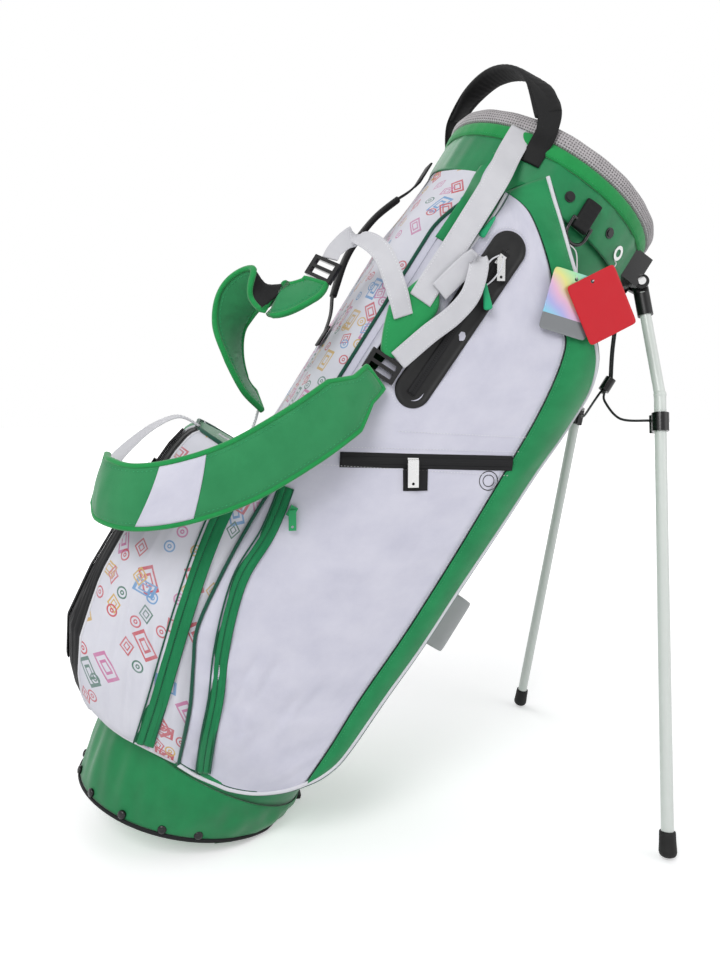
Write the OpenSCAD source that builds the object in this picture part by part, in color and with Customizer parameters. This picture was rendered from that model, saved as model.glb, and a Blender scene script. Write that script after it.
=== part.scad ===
// Golf stand bag, leaning on its two legs. Millimetres, +Z up.
// Origin: centre of the flat contact strip of the front foot ridge, on the floor.
// Bag-local axes: x from spine to belly, y to the left side, z along the bag.

/* [Stance] */
// Lean of the bag from upright, degrees
lean = 32.6; // [24:0.1:38]
// Angle the base has opened from the bag, degrees
base_open = 17.2; // [10:0.1:22]
// Angle each leg has swung out, degrees
leg_open = 31.2; // [24:0.1:36]

/* [Body] */
// Length from base ring to rim
bag_len = 853; // [700:1:1050]
// Half width, spine to belly
body_a = 132; // [100:1:170]
// Half width, side to side
body_b = 126; // [100:1:165]
// Thickness of the shell
shell_t = 3; // [2:0.5:6]
// Height of the shell's lower edge above the base ring
shell_bottom = 46; // [40:1:60]
// Clearance between fixed pieces
fit = 0.3; // [0.1:0.05:0.6]
// Radial running clearance of pins and rods
run = 0.06; // [0.02:0.01:0.1]

/* [Top] */
// Height of the moulded collar
collar_h = 52; // [40:1:80]
// Wall of the moulded collar
collar_t = 5; // [3:0.5:9]
// Height of the padded cuff
cuff_h = 17; // [10:1:30]
// Thickness of the divider bars
bar_t = 10; // [6:1:18]
// Height of the green band below the cuff
band_h = 46; // [30:1:60]
// Thickness of the green band
band_t = 4; // [2:0.5:7]

/* [Pockets] */
// Outer half width of the side pockets, spine to belly
pocket_a = 147; // [138:1:175]
// Outer half width of the side pockets, side to side
pocket_b = 143; // [136:1:175]
// Corner radius of the pockets
pocket_r = 55; // [30:1:70]
// Wall of a pocket
pocket_t = 3; // [2:0.5:5]
// Reach of the ball pocket from the bag's axis
ball_reach = 232; // [190:1:270]
// Half width of the ball pocket
ball_b = 134; // [100:1:140]
// Thickness of zip tape
tape_t = 2; // [1:0.5:4]
// Width of zip tape
tape_w = 14; // [10:1:24]

/* [Legs] */
// Outer radius of the leg tubes
leg_r = 7; // [5:0.5:10]
// Wall of the leg tubes
leg_wall = 1.2; // [0.8:0.1:2]
// Length of the leg above its bend
leg_upper = 141; // [100:1:180]
// Sideways offset of the leg below its bend
leg_offset = 21.2; // [12:0.2:30]
// Turn of each leg's hinge pin from square, degrees
leg_toe = 25; // [15:0.5:32]
// Distance of each leg's hinge from the middle
hinge_y = 60; // [50:1:75]
// Distance of the leg hinges from the bag's axis
hinge_x = 145; // [138:1:165]
// Distance of the leg hinges below the rim
hinge_drop = 40; // [30:1:60]
// Radius of the hinge pins
pin_r = 3; // [2:0.25:4]
// Radius of the barrel at the top of each leg
barrel_r = 9; // [7:0.5:11]
// Length of the barrel
barrel_l = 14; // [10:1:20]
// Radius of the rubber feet
foot_r = 13; // [10:0.5:18]

/* [Base] */
// Half width of the base ring, spine to belly
ring_a = 126; // [100:1:160]
// Half width of the base ring, side to side
ring_b = 124; // [100:1:160]
// Depth of the rubber boot
boot_h = 20; // [14:1:30]
// Wall of the boot
boot_t = 6; // [4:0.5:9]
// Distance of the front ridge from the ring's centre
ridge_x = 52; // [36:1:70]
// Depth of the front ridge's contact below the ring
ridge_depth = 31.3; // [26:0.1:40]
// Length of the ridges
ridge_l = 190; // [120:1:210]
// Distance of the base hinge from the ring's centre
base_hinge_x = 66; // [58:1:80]

/* [Rod] */
// Radius of the actuator rod
rod_r = 3; // [2:0.25:5]
// Distance of the rod's axis outside the shell
rod_out = 5; // [4.5:0.1:8]

/* [Hidden] */
$fn = 48;

// ---- derived places -------------------------------------------------------
green = [0.05, 0.45, 0.30];
bright = [0.05, 0.75, 0.35];
white = [0.92, 0.92, 0.95];
black = [0.08, 0.08, 0.09];
grey = [0.70, 0.71, 0.72];
steel = [0.75, 0.75, 0.76];

tilt = lean - base_open;
// Place of the ring's centre, so that the front ridge touches the floor at the origin
ring_pos = [
    -(ridge_x * cos(tilt) - ridge_depth * sin(tilt)),
    0,
    ridge_x * sin(tilt) + ridge_depth * cos(tilt)
];
shell_top = bag_len - 31;
collar_z = bag_len - collar_h;
band_z = shell_top - band_h + 14;
inner_a = body_a - shell_t - fit;
inner_b = body_b - shell_t - fit;
band_a = body_a + fit + band_t;
band_b = body_b + fit + band_t;
cuff_out = 5;
hinge_z = bag_len - hinge_drop;
rod_x = body_a + rod_out;
lug_gap = 0.4;
// Rise of what hangs from the rim, for a bag longer than the one drawn
rise = bag_len - 853;

function oval(a, b, n = 72) = [for (i = [0:n - 1]) [a * cos(i * 360 / n), b * sin(i * 360 / n)]];
// Half-depth of the body oval at x, and half-width at y
function oval_y(x, a = body_a, b = body_b) = b * sqrt(max(0, 1 - pow(x / a, 2)));
function oval_x(y, a = body_a, b = body_b) = a * sqrt(max(0, 1 - pow(y / b, 2)));
// Rectangle of half-sizes a, b about [cx, 0] with round corners
function round_rect(a, b, r, cx = 0, n = 10) = [
    for (q = [0:3], i = [0:n])
        let (t = q * 90 + i * 90 / n,
             sx = (q == 0 || q == 3) ? 1 : -1,
             sy = q < 2 ? 1 : -1)
        [cx + sx * (a - r) + r * cos(t), sy * (b - r) + r * sin(t)]
];
function shrink(points, k) =
    let (c = [for (j = [0:1]) lookup_mean(points, j)])
    [for (p = points) c + (p - c) * k];
function lookup_mean(points, j, i = 0, s = 0) =
    i == len(points) ? s / len(points) : lookup_mean(points, j, i + 1, s + points[i][j]);
function unit(v) = v / norm(v);
// v turned by angle t about the unit axis k
function turned(v, k, t) = v * cos(t) + cross(k, v) * sin(t) + k * (k * v) * (1 - cos(t));

// ---- frames ---------------------------------------------------------------
module bag() {
    translate(ring_pos) rotate([0, lean, 0]) children();
}
module base() {
    translate(ring_pos) rotate([0, tilt, 0]) children();
}
// Stowed leg's frame about its hinge, swung out; side -1 is the right leg
function leg_axis(side) = [-side * sin(leg_toe), cos(leg_toe), 0];
module leg(side) {
    bag() translate([hinge_x, side * hinge_y, hinge_z])
        rotate(a = -leg_open, v = leg_axis(side)) children();
}
// Turns +Z into the direction d
module aim(d) {
    rotate([0, acos(d[2] / norm(d)), atan2(d[1], d[0])]) children();
}

// ---- shape helpers --------------------------------------------------------
module oval_ring(a, b, t, h) {
    linear_extrude(h) difference() {
        polygon(oval(a, b));
        polygon(oval(a - t, b - t));
    }
}
// Prism along y with the outline [x, z], from y0 to y1
module side_prism(outline, y0, y1) {
    translate([0, y1, 0]) rotate([90, 0, 0]) linear_extrude(y1 - y0) polygon(outline);
}
// Flat strap: each point is [centre, width direction, width]
module strap(points, thick) {
    n = len(points);
    rings = [for (i = [0:n - 1])
        let (t = unit(points[min(i + 1, n - 1)][0] - points[max(i - 1, 0)][0]),
             w = unit(points[i][1] - t * (t * points[i][1])) * points[i][2] / 2,
             k = cross(t, unit(w)) * thick / 2,
             c = points[i][0])
        [c - w - k, c + w - k, c + w + k, c - w + k]];
    skin(rings);
}
// Strap points along a route; direction and width run from a to b, over the route's first 1 / speed
function strap_points(route, dir_a, dir_b, width_a, width_b, speed = 1) = let (n = len(route) - 1)
    [for (i = [0:n]) let (k = min(1, speed * i / n)) [route[i], dir_a * (1 - k) + dir_b * k, width_a * (1 - k) + width_b * k]];
// Round cord or wire along points
module wire(points, r, sides = 8, up = [0.13, 0.97, 0.2]) {
    n = len(points);
    rings = [for (i = [0:n - 1])
        let (t = unit(points[min(i + 1, n - 1)] - points[max(i - 1, 0)]),
             u = unit(cross(t, up)), v = cross(t, u))
        [for (k = [0:sides - 1])
            points[i] + r * (u * cos(k * 360 / sides) + v * sin(k * 360 / sides))]];
    skin(rings);
}
module skin(rings) {
    m = len(rings[0]);
    n = len(rings);
    polyhedron(
        points = [for (ring = rings, p = ring) p],
        faces = concat(
            [[for (k = [0:m - 1]) k]],
            [[for (k = [0:m - 1]) (n - 1) * m + m - 1 - k]],
            [for (i = [0:n - 2], k = [0:m - 1], h = [0:1])
                let (a = i * m + k, b = i * m + (k + 1) % m)
                h == 0 ? [a, a + m, b] : [b, a + m, b + m]]),
        convexity = 6);
}
// Smooth path through points (Catmull-Rom), s steps to each span
function smooth(p, s = 4) = concat(
    [for (i = [0:len(p) - 2], k = [0:s - 1])
        let (a = p[max(i - 1, 0)], b = p[i], c = p[i + 1], d = p[min(i + 2, len(p) - 1)], t = k / s)
        0.5 * (2 * b + (c - a) * t + (2 * a - 5 * b + 4 * c - d) * t * t
            + (3 * b - a - 3 * c + d) * t * t * t)],
    [p[len(p) - 1]]);

// ---- shell and top --------------------------------------------------------
module body_shell() {
    color(green) bag() translate([0, 0, shell_bottom])
        oval_ring(body_a, body_b, shell_t, shell_top - shell_bottom);
}
stay_r = 4;
stay_inset = 5.2;
function stay_places() = [for (t = [150, 210])
    [(inner_a - stay_inset) * cos(t), (inner_b - stay_inset) * sin(t)]];
module top_collar() {
    color(black) bag() difference() {
        union() {
            translate([0, 0, collar_z]) oval_ring(inner_a, inner_b, collar_t, collar_h);
            translate([0, 0, shell_top + fit])
                oval_ring(band_a, band_b, band_a - inner_a + collar_t, bag_len - shell_top - fit);
        }
        for (s = stay_places()) translate([s[0], s[1], collar_z - 1]) cylinder(h = 15, r = stay_r + 0.1);
    }
}
well_a = inner_a - collar_t - fit;
well_b = inner_b - collar_t - fit;
module top_divider() {
    color(black) bag() translate([0, 0, collar_z + 4]) intersection() {
        linear_extrude(collar_h - 8) polygon(oval(well_a, well_b));
        union() {
            translate([-well_a, -bar_t / 2, 0]) cube([2 * well_a, bar_t, collar_h]);
            translate([-bar_t / 2, -well_b, 0]) cube([bar_t, 2 * well_b, collar_h]);
        }
    }
}
panel_t = 2;
frame_top = shell_bottom + 26;
module divider_panels() {
    z0 = frame_top + fit;
    h = collar_z + 4 - fit - z0;
    color(grey) bag() translate([0, 0, z0]) intersection() {
        linear_extrude(h) polygon(oval(well_a - 2, well_b - 2));
        union() {
            translate([-well_a, -panel_t / 2, 0]) cube([2 * well_a, panel_t, h]);
            translate([-panel_t / 2, -well_b, 0]) cube([panel_t, 2 * well_b, h]);
        }
    }
}
module cuff_padding() {
    color(grey) bag() translate([0, 0, bag_len + fit])
        oval_ring(band_a + cuff_out, band_b + cuff_out, band_a + cuff_out - well_a, cuff_h);
}
eyelet_r = 4.5;
eyelet_wall = 1.5;
eyelet_x = 82;
eyelet_z = bag_len - 25;
// Place and outward direction on the band at x on the right side
function band_spot(x) = [x, -oval_y(x, band_a, band_b), 0];
function band_out(x) = unit([x / pow(band_a, 2), band_spot(x)[1] / pow(band_b, 2), 0]);
module at_band(x, z) {
    bag() translate(band_spot(x) + [0, 0, z]) aim(band_out(x)) children();
}
module collar_band() {
    color(bright) difference() {
        bag() translate([0, 0, band_z]) oval_ring(band_a, band_b, band_t, shell_top - band_z);
        at_band(eyelet_x, eyelet_z - 20) translate([0, 0, -30]) cylinder(h = 60, r = eyelet_r + eyelet_wall + 0.1);
    }
}
module eyelet() {
    color(steel) at_band(eyelet_x, eyelet_z - 20) difference() {
        union() {
            translate([0, 0, -band_t + 1]) cylinder(h = band_t + 1, r = eyelet_r + eyelet_wall);
            translate([0, 0, 1.2]) cylinder(h = 1.2, r = eyelet_r + 4);
        }
        translate([0, 0, -9]) cylinder(h = 20, r = eyelet_r);
    }
}
snap_r = 6;
module snap_button() {
    cylinder(h = 2, r = snap_r);
    translate([0, 0, 1]) cylinder(h = 2, r = snap_r - 2);
}
module collar_snaps() {
    color(black) for (x = [-8, 56]) at_band(x, eyelet_z - 14) translate([0, 0, fit]) snap_button();
}

// ---- inner frame ----------------------------------------------------------
frame_t = 9;
base_hinge = [base_hinge_x * cos(base_open), base_hinge_x * sin(base_open)];
lug_y = 84;
lug_t = 8;
lug_r = 8;
base_pin_r = 4;
module base_frame() {
    color(black) bag() difference() {
        union() {
            translate([0, 0, shell_bottom]) oval_ring(inner_a, inner_b, frame_t, frame_top - shell_bottom);
            for (s = [-1, 1]) {
                translate([base_hinge[0], s * lug_y, base_hinge[1]]) rotate([90, 0, 0])
                    cylinder(h = lug_t, r = lug_r, center = true);
                translate([base_hinge[0] - lug_r, s * lug_y - lug_t / 2, base_hinge[1]])
                    cube([2 * lug_r, lug_t, shell_bottom + 8 - base_hinge[1]]);
                translate([base_hinge[0] - lug_r, s > 0 ? lug_y - lug_t / 2 : -lug_y - 20 + lug_t / 2, shell_bottom])
                    cube([2 * lug_r, 20, 8]);
            }
        }
        difference() {
            translate([0, 0, shell_bottom - 1]) linear_extrude(60) polygon(oval(300, 300));
            translate([0, 0, shell_bottom - 2]) linear_extrude(62) polygon(oval(inner_a, inner_b));
        }
        translate([base_hinge[0], 0, base_hinge[1]]) rotate([90, 0, 0])
            cylinder(h = 400, r = base_pin_r + run, center = true);
        for (s = stay_places()) translate([s[0], s[1], shell_bottom + 8]) cylinder(h = 60, r = stay_r + 0.1);
    }
}
module stay_rods() {
    z0 = shell_bottom + 8.2;
    color(white) bag() for (s = stay_places())
        translate([s[0], s[1], z0]) cylinder(h = collar_z + 13.8 - z0, r = stay_r);
}

// ---- belly ----------------------------------------------------------------
panel_half = 62;
belly_out = 145;
belly_z0 = 140;
belly_z1 = 716;
groove = 12;
module belly_panel() {
    color(green) bag() translate([0, 0, belly_z0]) linear_extrude(belly_z1 - belly_z0) difference() {
        intersection() {
            polygon(round_rect(belly_out, panel_half, 16));
            translate([20, -200]) square([300, 400]);
        }
        polygon(oval(body_a + fit, body_b + fit));
        translate([0, -groove / 2]) square([400, groove]);
    }
}
guide_h = 22;
module rod_guides() {
    color(black) bag() for (z = [belly_z1 + 4, belly_z0 - guide_h - 4, 440]) {
        w = z == 440 ? groove - 1 : 34;
        difference() {
            translate([body_a - 12, -w / 2, z]) cube([rod_out + 12 + rod_r + 3, w, guide_h]);
            translate([0, 0, z - 1]) linear_extrude(guide_h + 2) polygon(oval(body_a + fit, body_b + fit));
            translate([rod_x, 0, z - 1]) cylinder(h = guide_h + 2, r = rod_r + run);
        }
    }
}
module leg_rest() {
    color(grey) bag() {
        translate([0, 0, 300]) linear_extrude(70) difference() {
            translate([0, -61]) polygon([[belly_out + fit, 2], [172, 2], [184, 10], [184, 34], [172, 42], [belly_out + fit, 42]]);
            translate([165, -39]) circle(r = 9);
        }
    }
}

// ---- pockets --------------------------------------------------------------
// Line where the ball pocket meets the side pocket
split = [[-118, 384], [-115, 270], [-107, 205], [-68, 125], [-42, 57]];
apparel_outline = concat(
    [for (p = split) p + [0.5, 0]],
    [[28, 54], [84, 78], [118, 130], [133, 230], [138, 400], [143, 560], [140, 650],
     [118, 700], [50, 758], [-40, 770], [-84, 762], [-95, 700], [-108, 560]]);
ball_outline = concat(
    [for (p = split) p - [0.5, 0]],
    [[-103, 53], [-169, 64], [-200, 92], [-226, 130], [-232, 250], [-230, 350], [-220, 384]]);
seam_half = 77;
module apparel_solid(k, t) {
    c = [for (j = [0:1]) lookup_mean(apparel_outline, j)];
    intersection() {
        translate([0, 0, 40]) linear_extrude(760) difference() {
            intersection() {
                polygon(round_rect(pocket_a - t, pocket_b - t, pocket_r - t));
                translate([-300, -400 - seam_half - t]) square([600, 400]);
            }
            polygon(oval(body_a + fit + t, body_b + fit + t));
        }
        side_prism(shrink(apparel_outline, k), -200, -50);
    }
}
module apparel_pocket() {
    difference() {
        apparel_solid(1, 0);
        apparel_solid(0.97, pocket_t);
    }
}
module apparel_pocket_right() {
    color(white) bag() apparel_pocket();
}
module apparel_pocket_left() {
    color(white) bag() mirror([0, 1, 0]) apparel_pocket();
}
ball_cx = -100;
module ball_solid(k, t) {
    intersection() {
        translate([0, 0, 40]) linear_extrude(400) difference() {
            polygon(round_rect(ball_reach + ball_cx - t, ball_b - t, pocket_r + 5 - t, ball_cx));
            polygon(oval(body_a + fit + t, body_b + fit + t));
        }
        side_prism(shrink(ball_outline, k), -200, 200);
    }
}
module ball_pocket() {
    color(green) bag() difference() {
        ball_solid(1, 0);
        ball_solid(0.97, pocket_t);
    }
}
spine_half = 76;
spine_z0 = 384 + 2;
module spine_panel() {
    color(white) bag() translate([0, 0, spine_z0]) linear_extrude(band_z - 3 - spine_z0) difference() {
        intersection() {
            polygon(round_rect(141, 110, 60));
            translate([-300, -spine_half]) square([300 - 60, 2 * spine_half]);
        }
        polygon(oval(body_a + fit, body_b + fit));
    }
}

// ---- zips -----------------------------------------------------------------
slider_l = 12;
slider_w = 8;
slider_h = 4;
front_y = pocket_b + fit;
tape_y = front_y + tape_t + fit;
// Slab on the side pocket's front, outline in [x, z]
module front_slab(outline, y0, t) {
    bag() side_prism(outline, -y0 - t, -y0);
}
function zip_outline(p, q, w) =
    let (d = unit(q - p), n = [-d[1], d[0]] * w / 2)
    [p + n, q + n, q - n, p - n];
front_zip = [[-72, 436], [92, 532]];
module front_zip_tape() {
    color(black) front_slab(zip_outline(front_zip[0], front_zip[1], tape_w), front_y, tape_t);
}
module zip_slider(at, dir, puller) {
    bag() translate([at[0], -tape_y, at[1]]) rotate([90, 0, 0]) rotate(atan2(dir[1], dir[0])) {
        translate([-slider_l / 2, -slider_w / 2, 0]) cube([slider_l, slider_w, slider_h]);
        rotate(-atan2(dir[1], dir[0]) - 90 + lean) translate([0, 0, slider_h + fit]) difference() {
            translate([-2, -puller[1] / 2, 0]) cube([puller[0], puller[1], 2]);
            translate([puller[0] - 6, 0, -1]) cylinder(h = 4, r = 1.6);
        }
    }
}
front_dir = unit(front_zip[1] - front_zip[0]);
module front_zip_slider() {
    color(steel) zip_slider(front_zip[0] + front_dir * 78, front_dir, [30, 12]);
}
oval_zip = [[-40, 725], [-45, 540]];
module valuables_zip_guard() {
    color(black) bag() hull_free_stadium(oval_zip[0], oval_zip[1], 20, front_y, tape_t);
}
module hull_free_stadium(p, q, r, y0, t) {
    translate([0, -y0, 0]) rotate([90, 0, 0]) linear_extrude(t) union() {
        translate(p) circle(r = r);
        translate(q) circle(r = r);
        polygon(zip_outline(p, q, 2 * r));
    }
}
oval_dir = unit(oval_zip[1] - oval_zip[0]);
module valuables_zip_slider() {
    color(bright) zip_slider(oval_zip[0] + oval_dir * 18, oval_dir, [24, 9]);
}
side_zip = [[-88, 372], [-84, 236]];
side_dir = unit(side_zip[1] - side_zip[0]);
module apparel_zip_tape() {
    color(green) front_slab(
        [[-93, 378], [-82, 378], [-77, 240], [-40, 150], [-12, 74], [-26, 74], [-54, 146], [-90, 240]],
        front_y, tape_t);
}
module apparel_zip_slider() {
    color(green) zip_slider(side_zip[0] + side_dir * 10, side_dir, [22, 8]);
}
ball_zip_y = -66;
module ball_zip_tape() {
    color(black) bag() translate([-ball_reach - fit - tape_t, ball_zip_y - tape_w / 2, 104])
        cube([tape_t, tape_w, 240]);
}
module ball_zip_slider() {
    color(steel) bag() translate([-ball_reach - 2 * fit - tape_t - slider_h, ball_zip_y, 316]) {
        translate([0, -slider_w / 2, 0]) cube([slider_h, slider_w, slider_l]);
        translate([-fit - 2, -5, -20]) cube([2, 10, 24]);
    }
}

// ---- handles and straps ---------------------------------------------------
module top_handle() {
    route = smooth([[-64, -117.8, 822], [-64.6, -118.6, 840], [-67, -127, 860], [-74, -126, 888], [-88, -106, 922],
        [-108, -66, 946], [-124, -20, 952], [-134, 22, 936], [-137, 52, 900], [-131, 70, 868],
        [-119.4, 71.6, 842], [-117.8, 70.6, 820]], 3);
    color(black) bag() translate([0, 0, rise]) strap(strap_points(route, [0.87, -0.42, 0.1], [0.45, 0.89, 0.1], 24, 24), 3);
}
handle_x = -141 - fit - 3;
module spine_handle() {
    route = smooth([[handle_x, 0, 784], [handle_x - 4, 0, 760], [-162, 0, 728], [-170, 0, 690], [-171, 0, 650],
        [-165, 0, 610], [-151, 0, 580], [handle_x, 0, 552]], 3);
    color(black) bag() strap(strap_points(route, [0, 1, 0], [0, 1, 0], 30, 30), 6);
}
hub_t = 8;
hub_y = front_y + hub_t;
module strap_hub() {
    color(green) bag() side_prism([[-116, 600], [-96, 655], [-70, 625], [-80, 560], [-98, 556]],
        -hub_y, -front_y);
}
web_y = hub_y + 1.5;
module strap_webbing() {
    route = smooth([[-87.7, -103.9, 844 + rise], [-89, -105.4, 812 + rise], [-89, -146, 778], [-90, -149, 740],
        [-91, -web_y, 690], [-92, -web_y, 650], [-92, -web_y, 622]], 3);
    color(white) bag() strap(strap_points(route, [0.79, -0.61, 0], [1, 0, 0], 30, 26, 2), 2);
}
lock_a = [-88, -146, 543];
lock_b = [-190, -104, 600];
module strap_tails() {
    color(white) bag() {
        strap(strap_points(smooth([[-80, -web_y - 2.6, 640], [-66, -161, 690], [-52, -163, 660], [-54, -160, 630],
            [-66, -156, 596], [-78, -153, 556]], 3), [1, 0, 0.3], [1, 0, 0.3], 22, 22), 2);
        strap(strap_points(smooth([[-98, -web_y - 0.3, 598], [-122, -158, 618], [-154, -148, 642],
            [-182, -120, 646], lock_b + [-1.8, -1.8, 28], lock_b + [-1.8, -1.8, 13.6]], 3),
            [0.3, 0, 1], [0.7, -0.7, 0], 22, 22), 2);
        strap(strap_points(smooth([[-272, -107, 294], [-270, -97, 318], [-258, -92, 356], [-240, -90, 382],
            [-216, -88, 385.4]], 3), [-0.7, 0.7, 0.1], [0, 1, 0], 20, 20), 2);
        strap(strap_points(smooth([[-167, -29, 438], [-161, -28, 416], [-162, -27, 397], [-172, -26, 386.8],
            [-190, -26, 385.7]], 3), [0, 1, 0], [0, 1, 0], 20, 20), 2);
    }
}
module ladder_lock() {
    translate([0, 0, 2.5]) difference() {
        cube([38, 24, 5], center = true);
        for (y = [-5, 5]) translate([0, y, 0]) cube([28, 6, 8], center = true);
    }
}
module ladder_locks() {
    color(black) bag() {
        translate(lock_a) rotate([90, 0, 0]) ladder_lock();
        translate(lock_b) rotate([0, 0, -45]) rotate([90, 0, 0]) ladder_lock();
    }
}
pad_w = 62;
pad_t = 11;
module shoulder_pad_right() {
    route = smooth([[-89, -152.4, 527.8], [-96, -164, 505], [-108, -176, 474], [-128, -184, 430], [-160, -187, 372],
        [-198, -186, 326], [-234, -176, 296], [-262, -150, 284], [-273, -116, 286]], 3);
    color(green) bag() strap([for (i = [0:len(route) - 1])
        let (k = i / (len(route) - 1))
        [route[i], [-0.8 + 0.5 * k, 0, 0.5 + 0.5 * k], i < 3 ? 30 : pad_w]], pad_t);
}
module shoulder_pad_left() {
    route = smooth([lock_b + [-1.8, -1.8, -15], lock_b + [-4, -3, -28], [-214, -102, 548], [-236, -84, 552],
        [-250, -66, 532], [-244, -54, 500], [-222, -46, 472], [-196, -40, 452], [-172, -30, 444]], 3);
    color(green) bag() strap(strap_points(route, [0.7, -0.7, 0], [0, 1, 0.2], 40, 50), 8);
}
loop_z = bag_len - 47;
module towel_loop() {
    color(black) at_band(19, loop_z) difference() {
        translate([-16, -10, fit]) cube([34, 20, 9]);
        translate([8, 0, 5]) rotate([90, 0, 0]) cylinder(h = 40, r = 2 + run, center = true);
    }
}
module towel_ring() {
    color(black) at_band(19, loop_z) translate([8, 0, 5]) {
        rotate([90, 0, 0]) cylinder(h = 26, r = 2, center = true);
        for (s = [-1, 1]) translate([0, s * 13, 0]) {
            sphere(r = 2);
            rotate([0, 90, 0]) cylinder(h = 12, r = 2);
        }
        translate([12, 0, 0]) difference() {
            rotate_extrude() translate([13, 0]) circle(r = 2);
            translate([-40, -40, -10]) cube([40, 80, 20]);
        }
    }
}

// ---- legs -----------------------------------------------------------------
bend = [leg_offset * sin(45), leg_offset * sin(45)];
function bend_point(side) = [bend[0], side * bend[1], -sqrt(leg_upper * leg_upper - leg_offset * leg_offset)];
ear_t = 6;
ear_gap = barrel_l + 2 * lug_gap;
pin_l = ear_gap + 2 * ear_t;
bridge_x = hinge_x - 3;
// Frame on a leg hinge: z along the pin, x down the bag, y towards the bag
module at_hinge(side) {
    translate([hinge_x, side * hinge_y, hinge_z]) aim(leg_axis(side)) children();
}
module leg_bracket() {
    block_x = band_a - 36;
    color(black) bag() difference() {
        union() {
            translate([block_x, -hinge_y - 18, hinge_z - 12])
                cube([hinge_x - barrel_r - 1 - block_x, 2 * hinge_y + 36, 38]);
            translate([block_x, -hinge_y + 16, hinge_z - 12])
                cube([bridge_x - block_x, 2 * hinge_y - 32, 38]);
            for (s = [-1, 1]) at_hinge(s) linear_extrude(pin_l, center = true) {
                circle(r = barrel_r);
                translate([-barrel_r, 0]) square([2 * barrel_r, barrel_r + 8]);
            }
        }
        translate([0, 0, hinge_z - 40]) linear_extrude(90) polygon(oval(band_a + fit, band_b + fit));
        for (s = [-1, 1]) at_hinge(s) {
            cylinder(h = 80, r = pin_r + run, center = true);
            cylinder(h = ear_gap, r = barrel_r + 1.5, center = true);
            for (k = [-1, 1]) translate([0, 0, k * (pin_l / 2 + 10)]) cylinder(h = 20, r = pin_r + 2.6, center = true);
            translate([0, -20, -ear_gap / 2]) cube([60, 20 + barrel_r + 1, ear_gap]);
            translate([barrel_r + 1.5, -20, -leg_r - 4]) cube([60, 20 + leg_r + 4, 2 * leg_r + 8]);
        }
    }
}
module bracket_rivets() {
    color(steel) bag() for (s = [-1, 1])
        translate([bridge_x + fit, s * 20, hinge_z + 12]) rotate([0, 90, 0]) cylinder(h = 2, r = 4.5);
}
module leg_pins() {
    color(steel) bag() for (s = [-1, 1]) translate([hinge_x, s * hinge_y, hinge_z]) aim(leg_axis(s)) {
        cylinder(h = pin_l + 1, r = pin_r, center = true);
        for (k = [-1, 1]) translate([0, 0, k * (pin_l / 2 + 1.2)]) cylinder(h = 1.6, r = pin_r + 2, center = true);
    }
}
socket_l = 40;
module leg_head(side) {
    d = unit(bend_point(side));
    color(black) leg(side) difference() {
        union() {
            aim(leg_axis(side)) cylinder(h = barrel_l, r = barrel_r, center = true);
            aim(d) cylinder(h = socket_l, r = leg_r + 2.2);
        }
        aim(leg_axis(side)) cylinder(h = 60, r = pin_r + run, center = true);
        aim(d) translate([0, 0, barrel_r + 2]) cylinder(h = 80, r = leg_r + 0.1);
        difference() {
            aim(leg_axis(side)) cylinder(h = 80, r = barrel_r + 4, center = true);
            aim(leg_axis(side)) cylinder(h = barrel_l, r = 40, center = true);
        }
    }
}
// Length below the bend that brings the rubber foot down to the floor
function leg_world_z(v) = ring_pos[2] - sin(lean) * v[0] + cos(lean) * v[2];
leg_bend_open = [hinge_x, 0, hinge_z] + turned(bend_point(1), leg_axis(1), -leg_open);
leg_down_open = turned([0, 0, -1], leg_axis(1), -leg_open);
leg_drop = sin(lean) * leg_down_open[0] - cos(lean) * leg_down_open[2];
leg_lower = (leg_world_z(leg_bend_open) - foot_r) / leg_drop;
// Upper rod with a knuckle at the bend, and the straight tube below it
module leg_tube(side) {
    b = bend_point(side);
    color(white) leg(side) difference() {
        union() {
            aim(unit(b)) translate([0, 0, barrel_r + 2.4]) cylinder(h = norm(b) - barrel_r - 2.4, r = leg_r - 0.4);
            translate(b) sphere(r = leg_r + 0.5);
            translate(b - [0, 0, leg_lower]) cylinder(h = leg_lower, r = leg_r);
        }
        translate(b - [0, 0, leg_lower + 1]) cylinder(h = leg_lower - 14, r = leg_r - leg_wall);
    }
}
clip_h = 22;
clip_reach = leg_r + 11;
clip_drop = 44;
cord_r = 1.5;
module leg_clip(side) {
    b = bend_point(side);
    color(black) leg(side) translate(b - [0, 0, clip_drop]) {
        difference() {
            union() {
                cylinder(h = clip_h, r = leg_r + 3);
                translate([-3, side > 0 ? -clip_reach : 0, 0]) cube([6, clip_reach, clip_h]);
            }
            translate([0, 0, -1]) cylinder(h = clip_h + 2, r = leg_r + run);
            translate([0, -side * (clip_reach - 4), clip_h / 2]) rotate([0, 90, 0])
                cylinder(h = 40, r = cord_r + 0.6, center = true);
        }
    }
}
module leg_foot(side) {
    b = bend_point(side);
    color(black) leg(side) translate(b - [0, 0, leg_lower]) {
        difference() {
            union() {
                sphere(r = foot_r);
                translate([0, 0, 0]) cylinder(h = 30, r = leg_r + 2);
            }
            translate([0, 0, foot_r * -0.3]) cylinder(h = 60, r = leg_r + 0.1);
        }
        translate([0, 0, foot_r * -0.3 - 1]) cylinder(h = 26, r = leg_r - leg_wall - 0.1);
    }
}
module leg_head_right() { leg_head(-1); }
module leg_tube_right() { leg_tube(-1); }
module leg_clip_right() { leg_clip(-1); }
module leg_foot_right() { leg_foot(-1); }
module leg_head_left() { leg_head(1); }
module leg_tube_left() { leg_tube(1); }
module leg_clip_left() { leg_clip(1); }
module leg_foot_left() { leg_foot(1); }

// ---- leg cord -------------------------------------------------------------
lock_at = [194, -24, hinge_z - 113];
lock_l = 18;
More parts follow.
